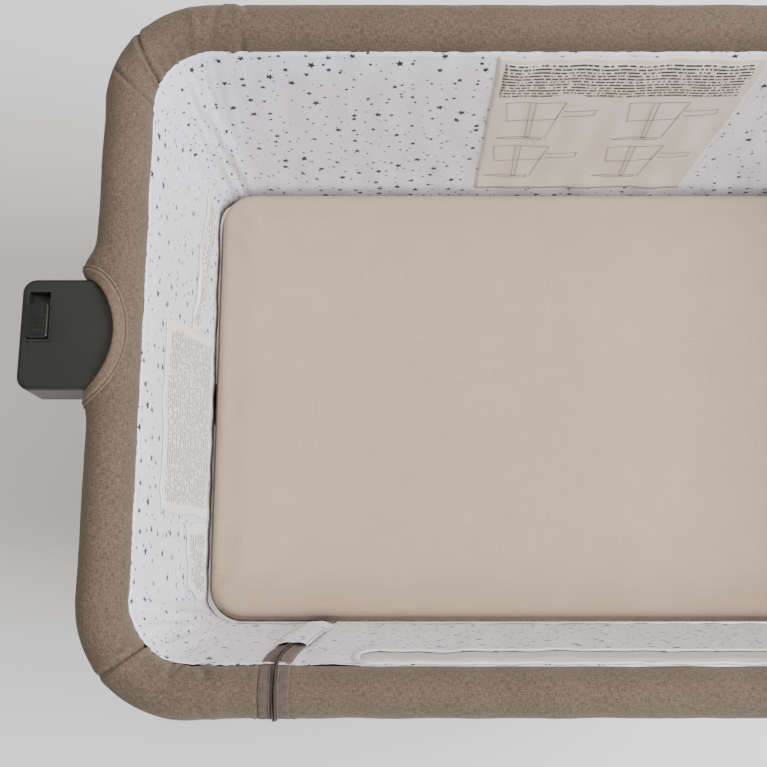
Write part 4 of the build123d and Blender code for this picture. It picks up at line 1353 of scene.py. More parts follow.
class ClothWalls:
    """The lining and outer cloth of the tub and of the fold-down side."""

    step: float = 0.0045
    rows_down: int = 44
    top_drop: float = 0.002
    window_edge: float = 0.066
    window_top: float = 0.008
    window_bottom: float = 0.052
    window_corner: float = 0.014
    zip_slant: float = 0.085

    def __init__(self, layout: Layout, path: RailPath, wardrobe: Wardrobe, repeater: Repeater) -> None:
        """Keeps what the walls follow.

        Args:
            layout: The sizes.
            path: The rail's centre line.
            wardrobe: The materials.
            repeater: The stitch maker.
        """
        self.layout, self.path, self.wardrobe, self.repeater = layout, path, wardrobe, repeater
        self.height = layout.rail_z - layout.mattress_bottom
        self.top_in = layout.sleeve_r + 0.0037
        self.end_in = layout.rail_x - layout.mattress_x - 0.0014
        self.side_in = layout.rail_y - layout.mattress_y - 0.0014
        self.outer_in = 0.0032

    def inset(self, s: Number, depth: Number) -> Number:
        """How far in from the rail's centre line the lining hangs.

        Args:
            s: Distance along the rail.
            depth: Distance below the rail's middle.

        Returns:
            The inset in metres.
        """
        part = depth / self.height
        _, normal, _ = self.path.at(s)
        bottom_in = self.end_in * normal[..., 0] ** 2 + self.side_in * normal[..., 1] ** 2
        inset = self.top_in + (bottom_in - self.top_in) * part
        meeting = hump(depth - (self.layout.rail_z - self.layout.mattress_top) - 0.006, 0.022)
        inset = inset + 0.0022 * meeting
        inset = inset - 0.0036 * hump(depth, 0.020)
        inset = inset + 0.0030 * np.sin(np.pi * np.clip(part, 0, 1)) * (
            0.6 + 0.4 * ripple(s / 0.35, part / 1.4, 11)
        )
        inset = inset + 0.0007 * ripple(s / 0.05, part / 0.35, 17)
        gather = np.zeros_like(s + depth)
        for number, corner in enumerate(self.path.corners):
            window = hump(s - corner, self.path.corner_half * 1.35)
            fold = np.cos(TAU * (s - corner) / 0.0165 + 2.2 * part + number) + 0.5 * np.cos(
                TAU * (s - corner) / 0.0102 - 1.5 * part
            )
            gather = gather + window * fold
        gather = gather * (1 - 0.85 * hump(depth, 0.026))
        inset = inset + 0.0011 * gather * (1.15 - 0.85 * part)
        for number, corner in enumerate(self.path.corners):
            for fold in range(3):
                lean = (0.10 + 0.05 * fold) * (1 if number % 2 else -1)
                line = corner + (fold - 1) * 0.030 + lean * (depth - 0.13)
                inset = inset + 0.0044 * hump(s - line, 0.012) * np.sin(np.pi * np.clip(part, 0, 1))
        pucker = np.sin(TAU * s / 0.0092 + 2.0 * np.sin(s / 0.031))
        return inset + 0.0004 * pucker * hump(depth, 0.014)

    def slide(self, s: Number, depth: Number) -> Number:
        """How far the cloth near the zips leans towards the middle of the fold-down side.

        Args:
            s: Distances along the rail.
            depth: Distances below the rail's middle.

        Returns:
            The distance to add along the rail.
        """
        path = self.path
        left = hump(np.minimum(np.abs(s), np.abs(s - path.total)), 0.075)
        right = hump(np.abs(s - path.fixed_end), 0.075)
        return self.zip_slant * np.clip(depth, 0.0, None) * (right - left)

    def place(self, s: Number, depth: Number, shift: Number = 0.0) -> np.ndarray:
        """Places on the lining.

        Args:
            s: Distances along the rail.
            depth: Distances below the rail's middle.
            shift: Distance in front of the lining, inwards.

        Returns:
            The places, last axis X, Y and Z.
        """
        s, depth = np.broadcast_arrays(np.asarray(s, float), np.asarray(depth, float))
        s = s + self.slide(s, depth)
        centre, normal, _ = self.path.at(s)
        inward = self.inset(s, depth) + shift
        x = centre[..., 0] - inward * normal[..., 0]
        y = centre[..., 1] - inward * normal[..., 1]
        return np.stack([x, y, self.layout.rail_z - depth], -1)

    def outer_place(self, s: Number, depth: Number) -> np.ndarray:
        """Places on the outer cloth, which starts under the sleeve."""
        under = 0.0075 * hump(np.asarray(depth) - 0.012, 0.016)
        loose = 0.0006 * ripple(np.asarray(s) / 0.09, np.asarray(depth) / 0.12, 29)
        inward = -self.outer_in - under + loose - 0.0028 * np.sin(np.pi * np.clip(depth / self.height, 0, 1))
        return self.place(s, depth, inward)

    def strip(
        self, name: str, start: float, end: float, top: float, bottom: float, where: Callable[..., np.ndarray]
    ) -> bpy.types.Object:
        """A plain strip of wall cloth.

        Args:
            name: The piece's name.
            start: Where it starts along the rail.
            end: Where it ends.
            top: Its upper edge, below the rail's middle.
            bottom: Its lower edge.
            where: The function that places it.

        Returns:
            The piece.
        """
        s = np.linspace(start, end, max(6, int((end - start) / self.step)))
        depth = np.linspace(top, bottom, self.rows_down)
        grid_s, grid_d = np.meshgrid(s, depth, indexing="ij")
        inside = where == self.place
        return grid_piece(name, where(grid_s, grid_d), np.stack([grid_s, -grid_d], -1), flip=inside)

    def window_loop(self, count: int, grow: float = 0.0) -> np.ndarray:
        """The mesh window's outline as distances along the rail and below it.

        Args:
            count: Number of points.
            grow: How much larger than the window.

        Returns:
            Points of the closed outline.
        """
        middle = (self.path.fixed_end + self.path.total) / 2
        half_s = self.layout.drop_x - self.window_edge + grow
        half_d = (self.window_bottom - self.window_top) / 2 + grow
        centre_d = (self.window_bottom + self.window_top) / 2
        return rounded_loop((middle, centre_d), half_s, half_d, self.window_corner + grow, count)

    def panel(
        self, name: str, top: float, bottom: float, where: Callable[..., np.ndarray]
    ) -> bpy.types.Object:
        """The fold-down panel's cloth with the window cut out of it.

        Args:
            name: The piece's name.
            top: Its upper edge, below the rail's middle.
            bottom: Its lower edge.
            where: The function that places it.

        Returns:
            The piece.
        """
        start, end = self.path.fixed_end + 0.0006, self.path.total - 0.0006
        count = 560
        inner = self.window_loop(count)
        outer = rounded_loop(
            ((start + end) / 2, (top + bottom) / 2), (end - start) / 2, (bottom - top) / 2, 0.0005, count
        )
        rings = np.linspace(0, 1, 30) ** 1.15
        flat = inner[:, None] * (1 - rings[None, :, None]) + outer[:, None] * rings[None, :, None]
        flat = np.concatenate([flat, flat[:1]])
        uv = np.stack([flat[..., 0], -flat[..., 1]], -1)
        return grid_piece(name, where(flat[..., 0], flat[..., 1]), uv, weld=0.00002, flip=where != self.place)

    def build_lining(self) -> None:
        """Makes the printed lining of the tub and of the fold-down side."""
        path, cloth = self.path, self.wardrobe
        bottom = self.height - 0.002
        lining = self.strip("tub_lining", 0.0006, path.fixed_end - 0.0006, self.top_drop, bottom, self.place)
        thicken(lining, 0.0006)
        walls = ("far_wall", "left_wall", "right_wall", "far_left_corner_wall", "far_right_corner_wall")
        walls += ("near_left_corner_wall", "near_right_corner_wall")
        finish_piece(lining, cloth.lining, Body.TUB, "lining_fabric", *walls)
        panel = self.panel("drop_lining", self.top_drop, bottom - 0.004, self.place)
        thicken(panel, 0.0006)
        finish_piece(panel, cloth.lining, Body.DROP, "lining_fabric", "drop_panel")

    def build_outer(self) -> None:
        """Makes the brown outer cloth."""
        path, cloth = self.path, self.wardrobe
        bottom = self.height + 0.0085
        cover = self.strip(
            "tub_outer_cloth", 0.0006, path.fixed_end - 0.0006, 0.013, bottom, self.outer_place
        )
        thicken(cover, 0.0008, 1.0)
        finish_piece(cover, cloth.sleeve, Body.TUB, "sleeve_fabric")
        panel = self.panel("drop_outer_cloth", 0.013, self.height - 0.006, self.outer_place)
        thicken(panel, 0.0008, 1.0)
        finish_piece(panel, cloth.sleeve, Body.DROP, "sleeve_fabric")

    def build_window(self) -> None:
        """Makes the net in the fold-down side and the tape round it."""
        count = 240
        outline = self.window_loop(count, 0.003)
        centre = outline.mean(0)
        rings = np.linspace(1, 0, 10)
        middle = (self.path.fixed_end + self.path.total) / 2
        half = self.layout.drop_x - self.window_edge - self.window_corner * 2
        spine = np.stack(
            [np.clip(outline[:, 0], middle - half, middle + half), np.full(count, centre[1])], -1
        )
        flat = outline[:, None] * rings[None, :, None] + spine[:, None] * (1 - rings[None, :, None])
        flat = np.concatenate([flat, flat[:1]])
        points = self.place(flat[..., 0], flat[..., 1], -0.0015)
        uv = np.stack([flat[..., 0], -flat[..., 1]], -1)
        net = grid_piece("side_net", points, uv, weld=0.00002)
        finish_piece(net, self.wardrobe.net, Body.DROP, "lining_fabric")
        for name, shift, side in (("window_tape_inside", 0.0008, 1), ("window_tape_outside", 0.0, -1)):
            inner, outer = self.window_loop(count, -0.0012), self.window_loop(count, 0.0062)
            part = np.linspace(0, 1, 5)
            bulge = np.array([-0.0003, 0.0007, 0.0009, 0.0007, -0.0003])
            flat = inner[:, None] * (1 - part[None, :, None]) + outer[:, None] * part[None, :, None]
            flat = np.concatenate([flat, flat[:1]])
            if side > 0:
                points = self.place(flat[..., 0], flat[..., 1], shift + bulge)
            else:
                points = self.outer_place(flat[..., 0], flat[..., 1])
                points[..., 1] -= 0.0012 + bulge
            uv = np.stack([flat[..., 0], flat[..., 1]], -1)
            tape = grid_piece(name, points, uv, weld=0.00002, flip=side < 0)
            thicken(tape, 0.0006)
            cloth = self.wardrobe.white_tape if side > 0 else self.wardrobe.binding
            finish_piece(tape, cloth, Body.DROP, "lining_fabric" if side > 0 else "sleeve_fabric")

    def build_edges(self) -> None:
        """Makes the stitching round the lining and the hem of the outer cloth."""
        path = self.path
        rows = []
        s = np.linspace(0.002, path.fixed_end - 0.002, 700)
        rows.append(self.place(s, 0.0085, 0.0004))
        sewn = self.repeater.run(
            "lining_stitching", rows, 0.0035, (0.0023, 0.0004, 0.0004), self.wardrobe.pale_thread
        )
        finish_piece(sewn, self.wardrobe.pale_thread, Body.TUB, "lining_fabric")
        s = np.linspace(path.fixed_end + 0.002, path.total - 0.002, 160)
        rows = [self.place(s, self.window_bottom + 0.0085, 0.0004), self.place(s, 0.0055, 0.0004)]
        sewn = self.repeater.run(
            "panel_stitching", rows, 0.0035, (0.0023, 0.0004, 0.0004), self.wardrobe.pale_thread
        )
        finish_piece(sewn, self.wardrobe.pale_thread, Body.DROP, "lining_fabric")
        for name, start, end, bottom, body in (
            ("tub_hem", 0.0006, path.fixed_end - 0.0006, self.height + 0.0085, Body.TUB),
            ("drop_hem", path.fixed_end + 0.0006, path.total - 0.0006, self.height - 0.006, Body.DROP),
        ):
            s = np.linspace(start, end, max(12, int((end - start) / 0.008)))
            part = np.linspace(0, TAU, 9)
            flat_s, turn = np.meshgrid(s, part, indexing="ij")
            points = self.outer_place(flat_s, bottom - 0.006 + 0.007 * np.sin(turn))
            _, normal, _ = path.at(flat_s)
            points[..., :2] += normal * (0.0006 + 0.0011 * np.cos(turn))[..., None]
            hem = grid_piece(name, points, np.stack([flat_s, turn * 0.004], -1), weld=0.00001)
            finish_piece(hem, self.wardrobe.binding, body, "sleeve_fabric")

    def build(self) -> None:
        """Makes every wall piece."""
        self.build_lining()
        self.build_outer()
        self.build_window()
        self.build_edges()


def rounded_loop(
    centre: tuple[float, float], half_a: float, half_b: float, corner: float, count: int
) -> np.ndarray:
    """Points round a rounded rectangle, matched by direction so that two loops can be joined.

    Args:
        centre: Its middle.
        half_a: Half its first size.
        half_b: Half its second size.
        corner: Its corner radius.
        count: How many points.

    Returns:
        Count by 2 points.
    """
    quarter = count // 4
    sides = []
    for turn in range(4):
        straight = half_b - corner if turn % 2 == 0 else half_a - corner
        share = int(quarter * 0.6)
        line = np.linspace(-straight, straight, share, endpoint=False)
        depth = half_a if turn % 2 == 0 else half_b
        run = np.stack([np.full(share, depth), line], -1)
        angle = np.linspace(0, math.pi / 2, quarter - share, endpoint=False)
        bend = np.stack([depth - corner + corner * np.cos(angle), straight + corner * np.sin(angle)], -1)
        side = np.concatenate([run, bend])
        c, n = math.cos(turn * math.pi / 2), math.sin(turn * math.pi / 2)
        sides.append(side @ np.array([[c, n], [-n, c]]))
    return np.concatenate(sides) + np.array(centre)


# ---------------------------------------------------------------- labels


@dataclass(frozen=True)
class LabelShape:
    """A sewn label, by its four corners as distances along the rail and below it, and how it waves."""

    name: str
    corners: tuple[tuple[float, float], ...]
    wave: float
    waves: float
    seed: int


class SewnLabels:
    """The pale blank labels on the far wall and the left wall."""

    def __init__(self, walls: ClothWalls, wardrobe: Wardrobe) -> None:
        """Keeps the walls that the labels are sewn to.

        Args:
            walls: The walls.
            wardrobe: The materials.
        """
        self.walls, self.wardrobe = walls, wardrobe

    def patch(self, shape: LabelShape, lift: float, columns: int = 60, rows: int = 50) -> bpy.types.Object:
        """One label as a thin closed sheet.

        Args:
            shape: Its outline.
            lift: Its height above the lining.
            columns: Cells along the rail.
            rows: Cells down the wall.

        Returns:
            The piece.
        """
        a, b = np.meshgrid(np.linspace(0, 1, columns), np.linspace(0, 1, rows), indexing="ij")
        top_left, top_right, low_right, low_left = (np.array(c) for c in shape.corners)
        a3, b3 = a[..., None], b[..., None]
        flat = (top_left * (1 - a3) + top_right * a3) * (1 - b3) + (low_left * (1 - a3) + low_right * a3) * b3
        flat[..., 0] += shape.wave * 1.4 * np.sin(TAU * shape.waves * b + shape.seed) * (a - 0.5)
        flat[..., 1] += shape.wave * 1.2 * np.sin(TAU * shape.waves * a * 1.3 + 2 * shape.seed)
        edge = np.minimum(np.minimum(a, 1 - a), np.minimum(b, 1 - b))
        loose = shape.wave * 0.5 * (1 + ripple(a * shape.waves, b * shape.waves, shape.seed)) * ease(
            edge, 0, 0.2
        )
        points = self.walls.place(flat[..., 0], flat[..., 1], lift + loose)
        size = np.linalg.norm(top_right - top_left), np.linalg.norm(low_left - top_left)
        piece = grid_piece(shape.name, points, np.stack([a * size[0], -b * size[1]], -1), flip=True)
        thicken(piece, 0.0003)
        return piece

    def build(self) -> None:
        """Makes the labels and the plain bars and frames on the far one."""
        path, cloth = self.walls.path, self.wardrobe
        far = path.s_at_far(0.014)
        half, top, low = 0.126, 0.008, 0.262
        corners = ((far - half, top), (far + half + 0.006, top), (far + half - 0.012, low), (far - half, low))
        label = self.patch(LabelShape("far_wall_label", corners, 0.0006, 2.0, 3), 0.0010)
        finish_piece(label, cloth.far_label, Body.TUB, "lining_fabric")
        left, right, first, last = far - half + 0.008, far + half - 0.006, 0.0165, 0.068
        corners = ((left, first), (right, first), (right - 0.004, last), (left - 0.001, last))
        text = self.patch(LabelShape("far_label_bars", corners, 0.0006, 2.0, 3), 0.0014)
        finish_piece(text, cloth.bars, Body.TUB, "lining_fabric")
        self.drawings(far - half, far + half)
        for shape in self.side_shapes(path.left_middle):
            piece = self.patch(shape, 0.0012)
            finish_piece(piece, cloth.side_label, Body.TUB, "lining_fabric")
            self.mark(piece, cloth.side_bars, 0.009)

    def mark(self, piece: bpy.types.Object, material: bpy.types.Material, margin: float) -> None:
        """Gives the middle of a label its barred material and leaves a blank margin round it.

        Args:
            piece: The label.
            material: The barred material.
            margin: The margin's width.
        """
        piece.data.materials.append(material)
        layer = piece.data.uv_layers["cloth"].data
        spots = np.array(
            [np.mean([layer[i].uv for i in face.loop_indices], axis=0) for face in piece.data.polygons]
        )
        low, high = spots.min(0) + margin, spots.max(0) - margin
        inside = ((spots > low) & (spots < high)).all(1)
        for face, barred in zip(piece.data.polygons, inside):
            face.material_index = int(barred)

    def drawings(self, left: float, right: float) -> None:
        """Draws four plain outlines of a crib on a stand, as raised lines on the far label.

        Args:
            left: The label's left edge along the rail.
            right: Its right edge.
        """
        tub = [(0.0, 0.0), (0.060, 0.0), (0.054, 0.030), (0.004, 0.034), (0.0, 0.0)]
        post = [(0.024, 0.0), (0.027, 0.068), (0.031, 0.068), (0.030, 0.0)]
        foot = [
            (-0.004, 0.068), (0.010, 0.071), (0.044, 0.071), (0.044, 0.067), (0.012, 0.067), (-0.004, 0.068)
        ]
        side = [(0.056, 0.020), (0.048, 0.070)]
        bed = [(0.060, 0.016), (0.092, 0.013), (0.092, 0.022), (0.060, 0.025)]
        rows = []
        for across, down in (
            (left + 0.016, 0.078), (right - 0.112, 0.078), (left + 0.012, 0.164), (right - 0.116, 0.164)
        ):
            for line in (tub, post, foot, side, bed):
                corners = np.array(line) + (across, down)
                steps = np.linspace(0, len(corners) - 1, 24 * (len(corners) - 1) + 1)
                flat = np.stack([np.interp(steps, range(len(corners)), corners[:, i]) for i in (0, 1)], -1)
                rows.append(self.walls.place(flat[:, 0], flat[:, 1], 0.0018))
        repeater = self.walls.repeater
        drawn = repeater.run(
            "far_label_outlines", rows, 0.0008, (0.00085, 0.0005, 0.0003), self.wardrobe.plug
        )
        finish_piece(drawn, self.wardrobe.plug, Body.TUB, "lining_fabric")

    def side_shapes(self, middle: float) -> list[LabelShape]:
        """The three labels of the left end wall.

        Args:
            middle: The wall's middle along the rail.

        Returns:
            Their shapes.
        """
        def corner(y: float, depth: float) -> tuple[float, float]:
            """One corner, by its Y from the middle and its depth."""
            return (middle + y, depth)

        return [
            LabelShape(
                "care_label",
                (corner(0.046, 0.160), corner(0.236, 0.216), corner(0.214, 0.262), corner(0.060, 0.208)),
                0.0026, 1.6, 2,
            ),
            LabelShape(
                "wide_label",
                (corner(-0.144, 0.070), corner(0.036, 0.058), corner(0.066, 0.262), corner(-0.138, 0.262)),
                0.0020, 1.4, 5,
            ),
            LabelShape(
                "corner_label",
                (corner(-0.212, 0.185), corner(-0.149, 0.165), corner(-0.142, 0.262), corner(-0.236, 0.262)),
                0.0020, 1.7, 8,
            ),
        ]


# ---------------------------------------------------------------- zips


class SideZips:
    """The two zips that join the fold-down side to the ends, over the rail and down the wall."""

    tape: float = 0.0125
    tooth_pitch: float = 0.0021
    flap_half: float = 0.0155
    flap_top: float = 0.066
    flap_low: float = 0.236

    def __init__(self, sleeve: RailSleeve, walls: ClothWalls, wardrobe: Wardrobe, repeater: Repeater) -> None:
        """Keeps what the zips lie on.

        Args:
            sleeve: The rail sleeve.
            walls: The cloth walls.
            wardrobe: The materials.
            repeater: The tooth maker.
        """
        self.sleeve, self.walls, self.wardrobe, self.repeater = sleeve, walls, wardrobe, repeater

    def line(self, s: float, lift: float) -> np.ndarray:
        """The zip's line at one place along the rail, over the sleeve and down the lining.

        Args:
            s: Where along the rail.
            lift: Height above the cloth.

        Returns:
            Points from the outside bottom of the rail to the foot of the lining.
        """
        phi = np.linspace(-0.42 * math.pi, 1.03 * math.pi, 60)
        over = self.sleeve.surface(np.full_like(phi, s), phi, lift)
        depth = np.linspace(0.009, self.walls.height - 0.012, 70)
        down = self.walls.place(np.full_like(depth, s), depth, lift + 0.0004)
        return np.concatenate([over, down])

    def build(self) -> None:
        """Makes the tapes, teeth, sliders and pulls."""
        path = self.sleeve.path
        halves = (
            ("left_zip_tape_fixed", 0.0, 1, Body.TUB),
            ("right_zip_tape_fixed", path.fixed_end, -1, Body.TUB),
            ("left_zip_tape_drop", path.total, -1, Body.DROP),
            ("right_zip_tape_drop", path.fixed_end, 1, Body.DROP),
        )
        nodes = {"left_zip_tape_fixed": ("fixed_zip_tapes",), "left_zip_tape_drop": ("drop_zip_tapes",)}
        teeth: dict[Body, list[np.ndarray]] = {Body.TUB: [], Body.DROP: []}
        cords: dict[Body, list[np.ndarray]] = {Body.TUB: [], Body.DROP: []}
        for name, s0, way, body in halves:
            across = np.array([0.0004, 0.0022, 0.0065, self.tape - 0.0012, self.tape])
            lifts = np.array([0.0013, 0.0010, 0.0009, 0.0009, 0.0003])
            lines = np.stack([self.line(s0 + way * a, l) for a, l in zip(across, lifts)], 1)
            steps = np.linalg.norm(np.diff(lines[:, 0], axis=0), axis=1)
            along = np.concatenate([[0.0], np.cumsum(steps)])
            uv = np.stack(np.broadcast_arrays(along[:, None], across[None, :]), -1)
            piece = grid_piece(name, lines, uv, flip=way < 0)
            thicken(piece, 0.0005)
            finish_piece(piece, self.wardrobe.zip_tape, body, "zip_tape", *nodes.get(name, ()))
            teeth[body].append(self.line(s0 + way * 0.00095, 0.0021))
            cords[body].append(self.line(s0 + way * 0.0034, 0.0016))
        for body, rows in teeth.items():
            name = f"zip_teeth_{body.value}"
            row = self.repeater.run(
                name, rows, self.tooth_pitch, (0.0013, 0.0023, 0.0014), self.wardrobe.zip_teeth
            )
            finish_piece(row, self.wardrobe.zip_teeth, body, "zip_tape")
            name = f"zip_cord_{body.value}"
            row = self.repeater.run(name, cords[body], 0.0026, (0.0021, 0.0005, 0.0004), self.wardrobe.thread)
            finish_piece(row, self.wardrobe.thread, body, "zip_tape")
        for end, s0 in ((End.LEFT, 0.0), (End.RIGHT, path.fixed_end)):
            self.slider(f"{end.name.lower()}_zip_slider", s0)
            self.flap(f"{end.name.lower()}_zip_flap", s0)

    def flap(self, name: str, s0: float) -> None:
        """The printed flap sewn over the lower part of a zip.

        Args:
            name: The piece's name.
            s0: The zip's place along the rail.
        """
        across, depth = np.meshgrid(
            np.linspace(-1, 1, 33), np.linspace(self.flap_top, self.flap_low, 80), indexing="ij"
        )
        arch = np.clip(1 - across ** 2, 0, 1) ** 0.5
        lift = 0.0018 + arch * (0.0030 + 0.0022 * hump(depth - self.walls.height + 0.070, 0.022))
        lift = lift + 0.0005 * arch * ripple(across, depth / 0.06, 23)
        s = s0 + across * self.flap_half
        piece = grid_piece(name, self.walls.place(s, depth, lift), np.stack([s, -depth], -1), flip=True)
        thicken(piece, 0.0005)
        finish_piece(piece, self.wardrobe.lining, Body.TUB, "lining_fabric")
        run = np.linspace(self.flap_top + 0.002, self.flap_low - 0.002, 90)
        edge = self.flap_half * 0.93
        rows = [self.walls.place(np.full_like(run, s0 + side * edge), run, 0.0034) for side in (-1, 1)]
        sewn = self.repeater.run(
            f"{name}_stitching", rows, 0.0035, (0.0024, 0.0005, 0.0004), self.wardrobe.thread
        )
        finish_piece(sewn, self.wardrobe.thread, Body.TUB, "lining_fabric")

    def slider(self, name: str, s0: float) -> None:
        """The zip's slider and pull, at the foot of the lining.

        Args:
            name: The piece's name.
            s0: The zip's place along the rail.
        """
        depth = self.walls.height - 0.070
        base = self.walls.place(s0 + 0.0, depth, 0.0035)
        shape = bmesh.new()
        blocks = (
            (0.0078, 0.0032, 0.0100, 0.0), (0.0034, 0.0016, 0.0220, -0.0150),
            (0.0062, 0.0020, 0.0110, -0.0270)
        )
        for width, deep, tall, drop in blocks:
            made = bmesh.ops.create_cube(shape, size=1.0)
            for vertex in made["verts"]:
                x, y, z = vertex.co
                vertex.co = Vector((x * width, y * deep + 0.0012 * (drop < 0), z * tall + drop))
        bmesh.ops.bevel(shape, geom=shape.edges[:], offset=0.0007, segments=2, affect="EDGES")
        bmesh.ops.translate(shape, verts=shape.verts, vec=Vector(base))
        mesh = bpy.data.meshes.new(name)
        shape.to_mesh(mesh)
        shape.free()
        piece = bpy.data.objects.new(name, mesh)
        bpy.context.collection.objects.link(piece)
        finish_piece(piece, self.wardrobe.zinc, Body.TUB, "bright_steel")


# ---------------------------------------------------------------- mattress


class Mattress:
    """The foam mattress in its fitted sheet."""

    voxel: float = 0.006
    shrink: float = 0.0015
    corner: float = 0.040
    edge: float = 0.011
    pressure: float = 4.0
    cap: float = 0.005

    def __init__(self, layout: Layout, wardrobe: Wardrobe) -> None:
        """Keeps the sizes and materials.

        Args:
            layout: The sizes.
            wardrobe: The materials.
        """
        self.layout, self.wardrobe = layout, wardrobe

    def blank(self) -> bpy.types.Object:
        """The mattress before it fills out: a rounded slab, slightly small."""
        layout = self.layout
        half_x, half_y = layout.mattress_x - self.shrink, layout.mattress_y - self.shrink
        low, high = layout.mattress_bottom + 0.0005, layout.mattress_top - 0.0022
        rows = []
        turn = np.linspace(0, math.pi / 2, 6)
        profile = [(self.edge, low)]
        profile += [
            (self.edge * (1 - math.sin(t)) * 0.5, low + self.edge * (1 - math.cos(t)) * 0.5) for t in turn
        ]
        profile += [(self.edge * (1 - math.cos(t)), high - self.edge * (1 - math.sin(t))) for t in turn]
        for inset, z in profile:
            loop = rounded_loop(
                (0.0, layout.centre_y), half_x - inset, half_y - inset, self.corner - inset, 240
            )
            rows.append(np.c_[loop, np.full(len(loop), z)])
        shape = bmesh.new()
        rings = [[shape.verts.new(p) for p in row] for row in rows]
        for lower, upper in zip(rings, rings[1:]):
            for i in range(len(lower)):
                k = (i + 1) % len(lower)
                shape.faces.new((lower[i], lower[k], upper[k], upper[i]))
        shape.faces.new(rings[0][::-1])
        shape.faces.new(rings[-1])
        mesh = bpy.data.meshes.new("mattress_blank")
        shape.to_mesh(mesh)
        shape.free()
        piece = bpy.data.objects.new("mattress_in_sheet", mesh)
        bpy.context.collection.objects.link(piece)
        remesh = piece.modifiers.new("even", "REMESH")
        remesh.mode = "VOXEL"
        remesh.voxel_size = self.voxel
        apply_modifiers(piece)
        return piece

    def fill(self, piece: bpy.types.Object) -> None:
        """Swells the slab with a cloth simulation, held at its underside.

        Args:
            piece: The slab.
        """
        mesh = piece.data
        count = len(mesh.vertices)
        before = np.empty(count * 3)
        mesh.vertices.foreach_get("co", before)
        before = before.reshape(-1, 3)
        held = piece.vertex_groups.new(name="held")
        low = self.layout.mattress_bottom + 0.016
        held.add([int(i) for i in np.nonzero(before[:, 2] < low)[0]], 1.0, "REPLACE")
        cloth = piece.modifiers.new("filling", "CLOTH")
        cloth.settings.vertex_group_mass = "held"
        cloth.settings.quality = 4
        cloth.settings.mass = 0.3
        cloth.settings.tension_stiffness = 25.0
        cloth.settings.compression_stiffness = 25.0
        cloth.settings.bending_stiffness = 2.0
        cloth.settings.use_pressure = True
        cloth.settings.uniform_pressure_force = self.pressure
        cloth.settings.effector_weights.gravity = 0.0
        cloth.point_cache.frame_start = 1
        cloth.point_cache.frame_end = 20
        scene = bpy.context.scene
        for number in range(1, 21):
            scene.frame_set(number)
        graph = bpy.context.evaluated_depsgraph_get()
        after = np.empty(count * 3)
        piece.evaluated_get(graph).data.vertices.foreach_get("co", after)
        after = after.reshape(-1, 3)
        piece.modifiers.clear()
        move = after - before
        length = np.linalg.norm(move, axis=1, keepdims=True)
        move *= np.minimum(1.0, self.cap / np.maximum(length, 1e-9))
        mesh.vertices.foreach_set("co", (before + move).ravel())
        mesh.update()
        scene.frame_set(1)

    def soften(self, piece: bpy.types.Object) -> None:
        """Adds the sheet's pull lines at the corners and its faint unevenness.

        Args:
            piece: The mattress.
        """
        layout = self.layout
        mesh = piece.data
        places = np.empty(len(mesh.vertices) * 3)
        mesh.vertices.foreach_get("co", places)
        places = places.reshape(-1, 3)
        x, y, z = places[:, 0], places[:, 1] - layout.centre_y, places[:, 2]
        top = ease(z, layout.mattress_top - 0.012, layout.mattress_top - 0.002)
        rise = 0.0007 * ripple(x / 0.22, y / 0.2, 61) + 0.0004 * ripple(x / 0.07, y / 0.09, 67)
        edge = np.minimum(layout.mattress_x - np.abs(x), layout.mattress_y - np.abs(y))
        side = np.where(layout.mattress_x - np.abs(x) < layout.mattress_y - np.abs(y), y, x)
        pucker = 0.0006 * np.sin(TAU * side / 0.021 + 2 * np.sin(side / 0.05)) * hump(edge - 0.006, 0.012)
        places[:, 2] += top * (rise + pucker)
        places[:, 2] = np.minimum(places[:, 2], layout.mattress_top + 0.003)
        mesh.vertices.foreach_set("co", places.ravel())
        mesh.update()

    def build(self) -> None:
        """Makes the mattress in its fitted sheet."""
        piece = self.blank()
        self.fill(piece)
        self.soften(piece)
        smooth = piece.modifiers.new("smooth", "SMOOTH")
        smooth.iterations = 3
        smooth.factor = 0.5
        apply_modifiers(piece)
        piece.data.shade_smooth()
        piece.data.uv_layers.new(name="cloth")
        finish_piece(piece, self.wardrobe.sheet, Body.TUB, "sheet_fabric", "mattress", "fitted_sheet")


# ---------------------------------------------------------------- hard pieces


class ReturnSprings:
    """The coils inside the housings; in the stand they shorten as their straps lift, but each is made here at one
    fixed length.
    """

    turns: int = 6
    wire: float = 0.0005
    travel: float = 0.006

    def __init__(self, wardrobe: Wardrobe) -> None:
        """Keeps the materials.

        Args:
            wardrobe: The materials.
        """
        self.wardrobe = wardrobe

    def coil(self, end: End) -> None:
        """One coil, in the box of the frame's own spring.

        Args:
            end: Which end of the bassinet it is in.
        """
        side = end.name.lower()
        low, high = (np.array(corner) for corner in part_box(f"{side}_return_spring"))
        centre = (low + high) / 2
        radius = (high[1] - low[1]) / 2 - self.wire
        turn, ring = np.meshgrid(
            np.linspace(0, TAU * self.turns, 36 * self.turns), np.linspace(0, TAU, 11), indexing="ij"
        )
        thick = np.full(turn.shape, self.wire)
        thick[[0, -1]] = 0.0
        reach = radius + thick * np.cos(ring)
        rise = low[2] + self.wire + (high[2] - low[2] - 2 * self.wire) * turn / turn.max()
        points = np.stack(
            [centre[0] + reach * np.cos(turn), centre[1] + reach * np.sin(turn), rise + thick * np.sin(ring)], -1
        )
        uv = np.stack([turn * radius, ring * self.wire], -1)
        piece = grid_piece(f"{side}_return_coil", points, uv, weld=0.00001)
        finish_piece(piece, self.wardrobe.zinc, Body.TUB, "bright_steel", f"{side}_return_spring")
        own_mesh(piece)

    def build(self) -> None:
        """Makes both coils."""
        for end in (End.LEFT, End.RIGHT):
            self.coil(end)


